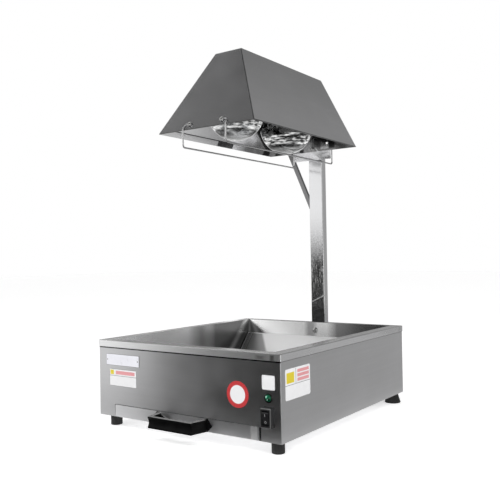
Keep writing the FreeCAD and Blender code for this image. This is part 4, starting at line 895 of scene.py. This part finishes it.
# %% Plastics and rubber
def moulded(name, colour, roughness, grain=900.0, bump=0.2, wear=0.15, top=None, specular=0.5):
    """Moulded plastic, rubber or glazed surface, with a colour of its own on the faces that look up."""
    material, shader = new_material(name, Specular_IOR_Level=specular)
    tree = material.node_tree
    place = object_place(tree)
    pebbles = scaled_noise(place, (grain, grain, grain), 2.0)
    slow = scaled_noise(place, (45.0, 45.0, 45.0), 4.0, 0.6)
    worn = [min(part * (1 + wear) + wear * 0.02, 1) for part in colour]
    tint = mixed(span(slow, 0, 1), opaque(colour), opaque(worn))
    faces_up = span(parts_of(surface_normal(tree))["Z"], 0, 1, 0.7, 0.95)
    feed_all(shader, Base_Color=mixed(faces_up, tint, opaque(top or colour)),
             Roughness=span(slow, roughness * 0.85, roughness * 1.2), Normal=bumped(pebbles, bump, 0.0001))
    return material


finishes["black_plastic"] = moulded("black plastic", (0.003, 0.003, 0.0032), 0.34, bump=0.08,
                                    top=(0.25, 0.25, 0.25), specular=0.05)
finishes["rocker_plastic"] = moulded("rocker plastic", (0.012, 0.012, 0.013), 0.18, bump=0.05)
finishes["foot_rubber"] = moulded("foot rubber", (0.007, 0.007, 0.007), 0.6)
finishes["white_plastic"] = moulded("white plastic", (0.8, 0.8, 0.78), 0.4)
finishes["porcelain"] = moulded("porcelain", (0.82, 0.81, 0.77), 0.2, bump=0.05)
print("finishes so far:", len(finishes))

# %% [markdown]
# Clear glass lets light through and bends it, and so does the green lens of the pilot lamp, which
# is less clear. Its transmission is a plain number on the shader, and only its tint has a faint
# cloud inside.

# %% Clear glass
def clear_glass(name, colour, roughness, transmission):
    """Glass or clear plastic of one colour, with that colour's output."""
    material, shader = new_material(name, Roughness=roughness, IOR=1.47, Transmission_Weight=transmission)
    cloud = scaled_noise(object_place(material.node_tree), (120.0, 120.0, 120.0), 2.0)
    tint = mixed(span(cloud, 0, 1), opaque(colour), opaque(colour, 0.9))
    feed_all(shader, Base_Color=tint)
    return material, shader, tint


print("glass ready")

# %% [markdown]
# The lamps' fronts are thin pressed glass over the mirrored bowl. What shows in them is clear low
# down with a faint painted glow, and higher up painted reflections: bright shards and dark gaps,
# which noise cuts out of the heights where they show. The rim of the glass takes a painted
# highlight where it turns away, which Layer Weight measures. A faint glow paints the bright
# shards, because the glass keeps a plain metallic and transmission.

# %% Lamp fronts
# Greys under the painted dark reflections and the painted bright glints of the lamp fronts.
dark_reflection_grey, glint_grey = grey(0.08), grey(0.25)
shard_glow = 0.55


def lens_glass(name, shard_low, shard_high, dark_low, dark_high, dark_end, low_glow):
    """Lamp front: clear low down, and higher up painted with bright shards and dark gaps of reflection."""
    material, shader, clear = clear_glass(name, (0.8, 0.81, 0.81), 0.02, 1.0)
    tree = material.node_tree
    place = object_place(tree)
    soft = (0.001, 0.001, 0.003)
    shard_noise = span(scaled_noise(place, (55.0, 55.0, 230.0), 3.0), 0, 1, 0.46, 0.66)
    shards = combine("MULTIPLY", shard_noise,
                     patch_mask(tree, (-0.1, -0.3, shard_low), (0.1, 0.3, shard_high), soft))
    gap_noise = span(scaled_noise(place, (30.0, 30.0, 90.0), 2.0), 0.3, 1, 0.38, 0.5)
    gap_soft = (0.001, 0.01, 0.002)
    gaps = combine("MULTIPLY", gap_noise,
                   patch_mask(tree, (-0.1, -0.3, dark_low), (0.1, dark_end, dark_high), gap_soft))
    turned_away = span(add_node(tree, "LayerWeight").outputs["Facing"], 0, 0.9, 0.8, 0.95)
    low_part = span(patch_mask(tree, (-0.1, -0.3, 0.6), (0.1, 0.3, dark_low), soft), 0, low_glow, 0, 1)
    bright = chain("MAXIMUM", shards, turned_away, low_part)
    feed_all(shader, Base_Color=mixed(bright, mixed(gaps, clear, dark_reflection_grey), glint_grey),
             Emission_Color=bright, Emission_Strength=shard_glow)
    return material


own_finish["lamp_front_lens"] = lens_glass("front lens glass", 0.6385, 0.653, 0.625, 0.637, -0.05, 0.12)
own_finish["lamp_rear_lens"] = lens_glass("rear lens glass", 0.632, 0.653, 0.622, 0.7, 0.3, 0.12)
print("lamp fronts ready")

# %% [markdown]
# The pilot lens is a small green dome. Its painted glints lie where a window and a lamp would mirror
# in it, with one painted dark patch of shade, as patches measured from the lens's middle, which the
# frame gives.

# %% Pilot lens
pilot_lens, pilot_shader, pilot_tint = clear_glass("green lens", (0.004, 0.11, 0.05), 0.08, 0.2)
lens_low, lens_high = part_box("pilot_lens")
lens_x, lens_z = (lens_low[0] + lens_high[0]) / 2, (lens_low[2] + lens_high[2]) / 2
# Painted glints and one painted dark patch of shade on the pilot lens.
glint_shapes = [(-0.0046, 0.0002, 0.0008, 0.0042, (0.05, 0.42, 0.25)),
                (-0.003, -0.0014, 0.0024, 0.0038, (0.7, 0.9, 0.8)),
                (0.0006, 0.0016, -0.0026, -0.0014, (0.5, 0.75, 0.65)),
                (0.002, 0.0046, -0.0034, 0.0006, (0.0, 0.03, 0.015))]
glints = [((lens_x + x0, -0.4, lens_z + z0), (lens_x + x1, 0.0, lens_z + z1), (0.0006, 0.001, 0.0006), colour)
          for x0, x1, z0, z1, colour in glint_shapes]
feed_all(pilot_shader, Base_Color=painted(pilot_lens.node_tree, pilot_tint, glints))
own_finish["pilot_lens"] = pilot_lens
print("glints:", len(glints))

# %% [markdown]
# Printed film and smooth dark plastic have the same build: one base colour with fields of other
# colours, and an even gloss. The switch's bezel uses it for painted highlights on its four edges,
# whose places are read from the frame, and the stickers use it below.

# %% Printed surfaces and the bezel
def printed(name, base, patches, roughness=0.35):
    """Glossy printed film: a base colour with fields of other colours."""
    material, shader = new_material(name)
    tree = material.node_tree
    cloud = scaled_noise(object_place(tree), (80.0, 80.0, 80.0), 2.0)
    tint = mixed(span(cloud, 0, 1), opaque(base, 0.96), opaque(base))
    feed_all(shader, Base_Color=painted(tree, tint, patches),
             Roughness=span(cloud, roughness * 0.9, roughness * 1.1))
    return material


bezel_low, bezel_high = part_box("switch_bezel")
bezel_face = (bezel_low[1] - 0.01, bezel_low[1] + 0.0011)
# Painted highlights along the four edges of the bezel.
bezel_strips = [(bezel_low[0], bezel_low[0] + 0.0012, bezel_low[2], bezel_high[2], 0.05),
                (bezel_high[0] - 0.0014, bezel_high[0], bezel_low[2], bezel_high[2], 0.1),
                (bezel_low[0], bezel_high[0], bezel_high[2] - 0.0018, bezel_high[2], 0.14),
                (bezel_low[0], bezel_high[0], bezel_low[2], bezel_low[2] + 0.0014, 0.1)]
bezel_edges = [((x0, bezel_face[0], z0), (x1, bezel_face[1], z1), fine, level)
               for x0, x1, z0, z1, level in bezel_strips]
own_finish["switch_bezel"] = printed("bezel plastic", (0.014, 0.014, 0.015), bezel_edges, 0.25)
print("bezel edges:", len(bezel_edges))

# %% [markdown]
# The record says which finish each piece takes, and a few pieces have one of their own instead.
# Every imported piece gets its finish here, in all of its material slots.

# %% Dress the imported pieces
def dress(node_name, material):
    """Put one material in every slot of an imported piece."""
    mesh = nodes[node_name].data
    if not mesh.materials:
        mesh.materials.append(material)
    for index in range(len(mesh.materials)):
        mesh.materials[index] = material


slot_of = {part["node"]: part["material_slot"] for part in frame["record"]["subparts"]}
for node_name in nodes:
    dress(node_name, own_finish[node_name] if node_name in own_finish else finishes[slot_of[node_name]])
print("dressed", len(nodes), "pieces,", len(own_finish), "of them with a finish of their own")

# %% [markdown]
# The plain stickers and the plain plate are thin sheets with rounded corners. Their outline is
# four quarter circles: each corner's points are its centre plus the radius times the cosine and
# sine of the angle. The same outline is used twice, at the back and at the front of the sheet.

# %% Thin sheets
def circle_points(radius, count):
    """Points round a circle about its middle: the radius times the cosine and sine of the angle."""
    angle = np.linspace(0, 2 * np.pi, count, endpoint=False)
    return radius * np.stack([np.cos(angle), np.sin(angle)], axis=1)


def rounded_outline(width, height, radius, steps=8):
    """Points round a rectangle with round corners, about its middle, in its own two directions."""
    angle = np.linspace(0, 2 * np.pi, 4 * steps, endpoint=False) + np.pi / (4 * steps)
    across = np.sign(np.cos(angle)) * (width / 2 - radius) + radius * np.cos(angle)
    upward = np.sign(np.sin(angle)) * (height / 2 - radius) + radius * np.sin(angle)
    return np.stack([across, upward], axis=1)


def thin_sheet(name, outline, middle, across, outward, thickness, material):
    """Closed sheet: an outline set on a face and raised outward by its thickness."""
    across = np.asarray(across, float)
    outward = np.asarray(outward, float)
    upward = np.cross(outward, across)
    back = np.asarray(middle) + outline[:, :1] * across + outline[:, 1:] * upward
    front = back + outward * thickness
    count = len(outline)
    turned = np.arange(count)
    sides = grid_faces(2, count, close_columns=True)[:, ::-1].tolist()
    return make_piece(name, np.concatenate([back, front]),
                      sides + [turned[::-1].tolist(), (turned + count).tolist()], material)


print("points round a small circle:", len(circle_points(0.0014, 24)))

# %% [markdown]
# A sticker's print is a few fields of ink. Each field is a patch on the face that carries the
# sticker, so its numbers are places on the object, and one helper per face fills in the depth.
# Thin grey rules are fields as well, and so is the painted shadow round a label's edge.

# %% Fields of ink
paper_white = (0.93, 0.93, 0.94)
yellow_ink = (0.82, 0.66, 0.03)
red_ink = (0.6, 0.04, 0.045)
# Grey of the printed rules, and of the painted shadow round the labels' edges.
rule_and_shadow_grey = (0.3, 0.3, 0.31)
bar_ink = (0.84, 0.36, 0.38)
crisp = (0.0004, 0.0004, 0.0004)
front_y = -0.26925
right_x = 0.2335


def front_field(x0, x1, z0, z1, ink):
    """Field of ink on the front face."""
    return ((x0, front_y - 0.01, z0), (x1, front_y + 0.01, z1), crisp, ink)


def side_field(y0, y1, z0, z1, ink):
    """Field of ink on the right face."""
    return ((right_x - 0.01, y0, z0), (right_x + 0.01, y1, z1), crisp, ink)


def front_edge_shadow(x, z, width, height, line=0.0007):
    """Painted grey shadow round the edge of a label on the front face, as four fields."""
    x0, x1, z0, z1 = x - width / 2, x + width / 2, z - height / 2, z + height / 2
    return [front_field(x0, x1, z0, z0 + line, rule_and_shadow_grey), front_field(x0, x1, z1 - line, z1, rule_and_shadow_grey),
            front_field(x0, x0 + line, z0, z1, rule_and_shadow_grey), front_field(x1 - line, x1, z0, z1, rule_and_shadow_grey)]


print("front face at", front_y, "and right face at", right_x)

# %% [markdown]
# Two stickers have plain fields of yellow and red on white, and one is plain white. The plate is
# bare enamel. All but the one on the right face have a painted grey shadow round their edge, so the
# middle and the size of those are written once and serve their print as well as their sheet.

# %% Prints of the stickers
label_place, label_size = (-0.16225, 0.10725), (0.0795, 0.0365)
small_place, small_size = (0.2065, 0.13175), (0.029, 0.0275)
plate_place, plate_size = (-0.1625, 0.14475), (0.097, 0.0245)
front_label = printed("front label film", paper_white, [
    front_field(-0.199, -0.189, 0.1135, 0.1225, yellow_ink),
    front_field(-0.183, -0.128, 0.1142, 0.1212, bar_ink),
    front_field(-0.205, -0.12, 0.1106, 0.1112, rule_and_shadow_grey),
    *front_edge_shadow(*label_place, *label_size)])
side_label = printed("side label film", (0.98, 0.98, 0.99), [
    side_field(-0.2505, -0.2245, 0.1285, 0.1475, yellow_ink),
    *[side_field(-0.213, -0.1715, z0, z0 + 0.0055, bar_ink) for z0 in (0.1445, 0.1365, 0.1285)],
    side_field(-0.219, -0.218, 0.1265, 0.153, rule_and_shadow_grey),
    side_field(-0.26, -0.16, 0.1245, 0.1252, rule_and_shadow_grey)])
plain_film = printed("plain film", paper_white, front_edge_shadow(*small_place, *small_size))
plate_finish = printed("plate enamel", (0.9, 0.9, 0.96), front_edge_shadow(*plate_place, *plate_size), 0.3)
print("front label:", label_size, "plate:", plate_size)

# %% [markdown]
# Each sheet is given by its outline, its middle on the face, the directions of that face, its
# thickness and its finish. The plate is held by two rivets. All of them stay with the base.

# %% Stickers and the plate
facing_front = ((1, 0, 0), (0, -1, 0))
facing_right = ((0, 1, 0), (1, 0, 0))
film_thickness = 0.0002


def on_front(place, lift=0.0):
    """Point on the front face, or a little in front of it."""
    return (place[0], front_y - lift, place[1])


sheets = {
    "sticker_front": (rounded_outline(*label_size, 0.003), on_front(label_place),
                      *facing_front, film_thickness, front_label),
    "sticker_small": (rounded_outline(*small_size, 0.0045), on_front(small_place),
                      *facing_front, film_thickness, plain_film),
    "sticker_side": (rounded_outline(0.088, 0.0565, 0.0035), (right_x, -0.21075, 0.12625),
                     *facing_right, film_thickness, side_label),
    "plate_front": (rounded_outline(*plate_size, 0.0015), on_front(plate_place),
                    *facing_front, 0.0008, plate_finish),
}
for side, rivet_x in (("left", -0.207), ("right", -0.118)):
    sheets["plate_rivet_" + side] = (circle_points(0.0014, 24), on_front((rivet_x, plate_place[1]), 0.0006),
                                     *facing_front, 0.0007, finishes["zinc_fastener"])
for sheet_name, sheet_values in sheets.items():
    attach(thin_sheet(sheet_name, *sheet_values), "base")
print("stickers and plate:", len(sheets))

# %% [markdown]
# The round sticker is a disc with a plain red ring. The ring's edge needs no box: it is the
# distance from the disc's middle, so a short ramp over that distance colours it.

# %% Round sticker
disc_middle = on_front((0.1375, 0.1037))
disc_radius = 0.025
white_radius = 0.0172
ring_film, ring_shader = new_material("ring film", Roughness=0.35)
from_middle = combine_vectors("DISTANCE", object_place(ring_film.node_tree), disc_middle)
in_ring = span(from_middle, 0, 1, white_radius - 0.0004, white_radius + 0.0004)
feed_all(ring_shader, Base_Color=mixed(in_ring, opaque(paper_white), opaque(red_ink)))
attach(thin_sheet("sticker_round", circle_points(disc_radius, 64), disc_middle, *facing_front,
                   film_thickness, ring_film), "base")
print("round sticker across:", 2 * disc_radius)

# %% [markdown]
# The rocker carries the two usual switch marks, a line for on and a ring for off. Each lies on
# one half of the rocker's face, whose middle and direction are read from the imported mesh.

# %% Faces of the rocker
def largest_faces(node_name, count):
    """Middle and outward direction of the largest faces of an imported piece that look forward."""
    faces = [face for face in nodes[node_name].data.polygons if face.normal.y < -0.9]
    faces.sort(key=lambda face: face.area, reverse=True)
    return [(np.array(face.center), np.array(face.normal)) for face in faces[:count]]


def on_face(faces, x, z):
    """Point at a given x and z on the plane of the face whose middle is nearest in height."""
    middle, outward = min(faces, key=lambda face: abs(face[0][2] - z))
    y = middle[1] - (z - middle[2]) * outward[2] / outward[1]
    return np.array((x, y, z)), outward


rocker_faces = largest_faces("switch_rocker", 4)
rocker_low, rocker_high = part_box("switch_rocker")
rocker_x = (rocker_low[0] + rocker_high[0]) / 2
print("rocker's middle at x", round(rocker_x, 4))

# %% [markdown]
# The line is a thin sheet like the stickers. The ring is a grid that closes on itself both ways,
# round the circle and round its small section, which is the simplest closed ring there is. Both
# tip with the rocker, because they ride on it.

# %% Rocker marks
def ring_points(middle, outward, radius, width, height, steps=32):
    """Flat ring: middle + (radius +- width/2) * (cos a, sin a), from the surface to a height above it."""
    across = np.array((1.0, 0.0, 0.0))
    upward = np.cross(outward, across)
    angle = np.linspace(0, 2 * np.pi, steps, endpoint=False)[:, None, None]
    direction = np.cos(angle) * across + np.sin(angle) * upward
    reach = radius + width / 2 * np.array((-1, 1, 1, -1))[None, :, None]
    lift = height * np.array((0, 0, 1, 1))[None, :, None] * outward
    return middle + direction * reach + lift


mark_finish = printed("mark paint", (0.3, 0.3, 0.3), [], 0.4)
mark_height = 0.0002
line_place, line_outward = on_face(rocker_faces, rocker_x, 0.0765)
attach(thin_sheet("mark_line", rounded_outline(0.001, 0.0046, 0.0004), line_place, (1, 0, 0),
                   line_outward, mark_height, mark_finish), "rocker")
ring_place, ring_outward = on_face(rocker_faces, rocker_x, 0.0635)
ring_grid = ring_points(ring_place, ring_outward, 0.0018, 0.0008, mark_height)
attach(make_piece("mark_ring", ring_grid, grid_faces(32, 4, True, True).tolist(), mark_finish), "rocker")
print("rocker marks at", line_place.round(4), ring_place.round(4))
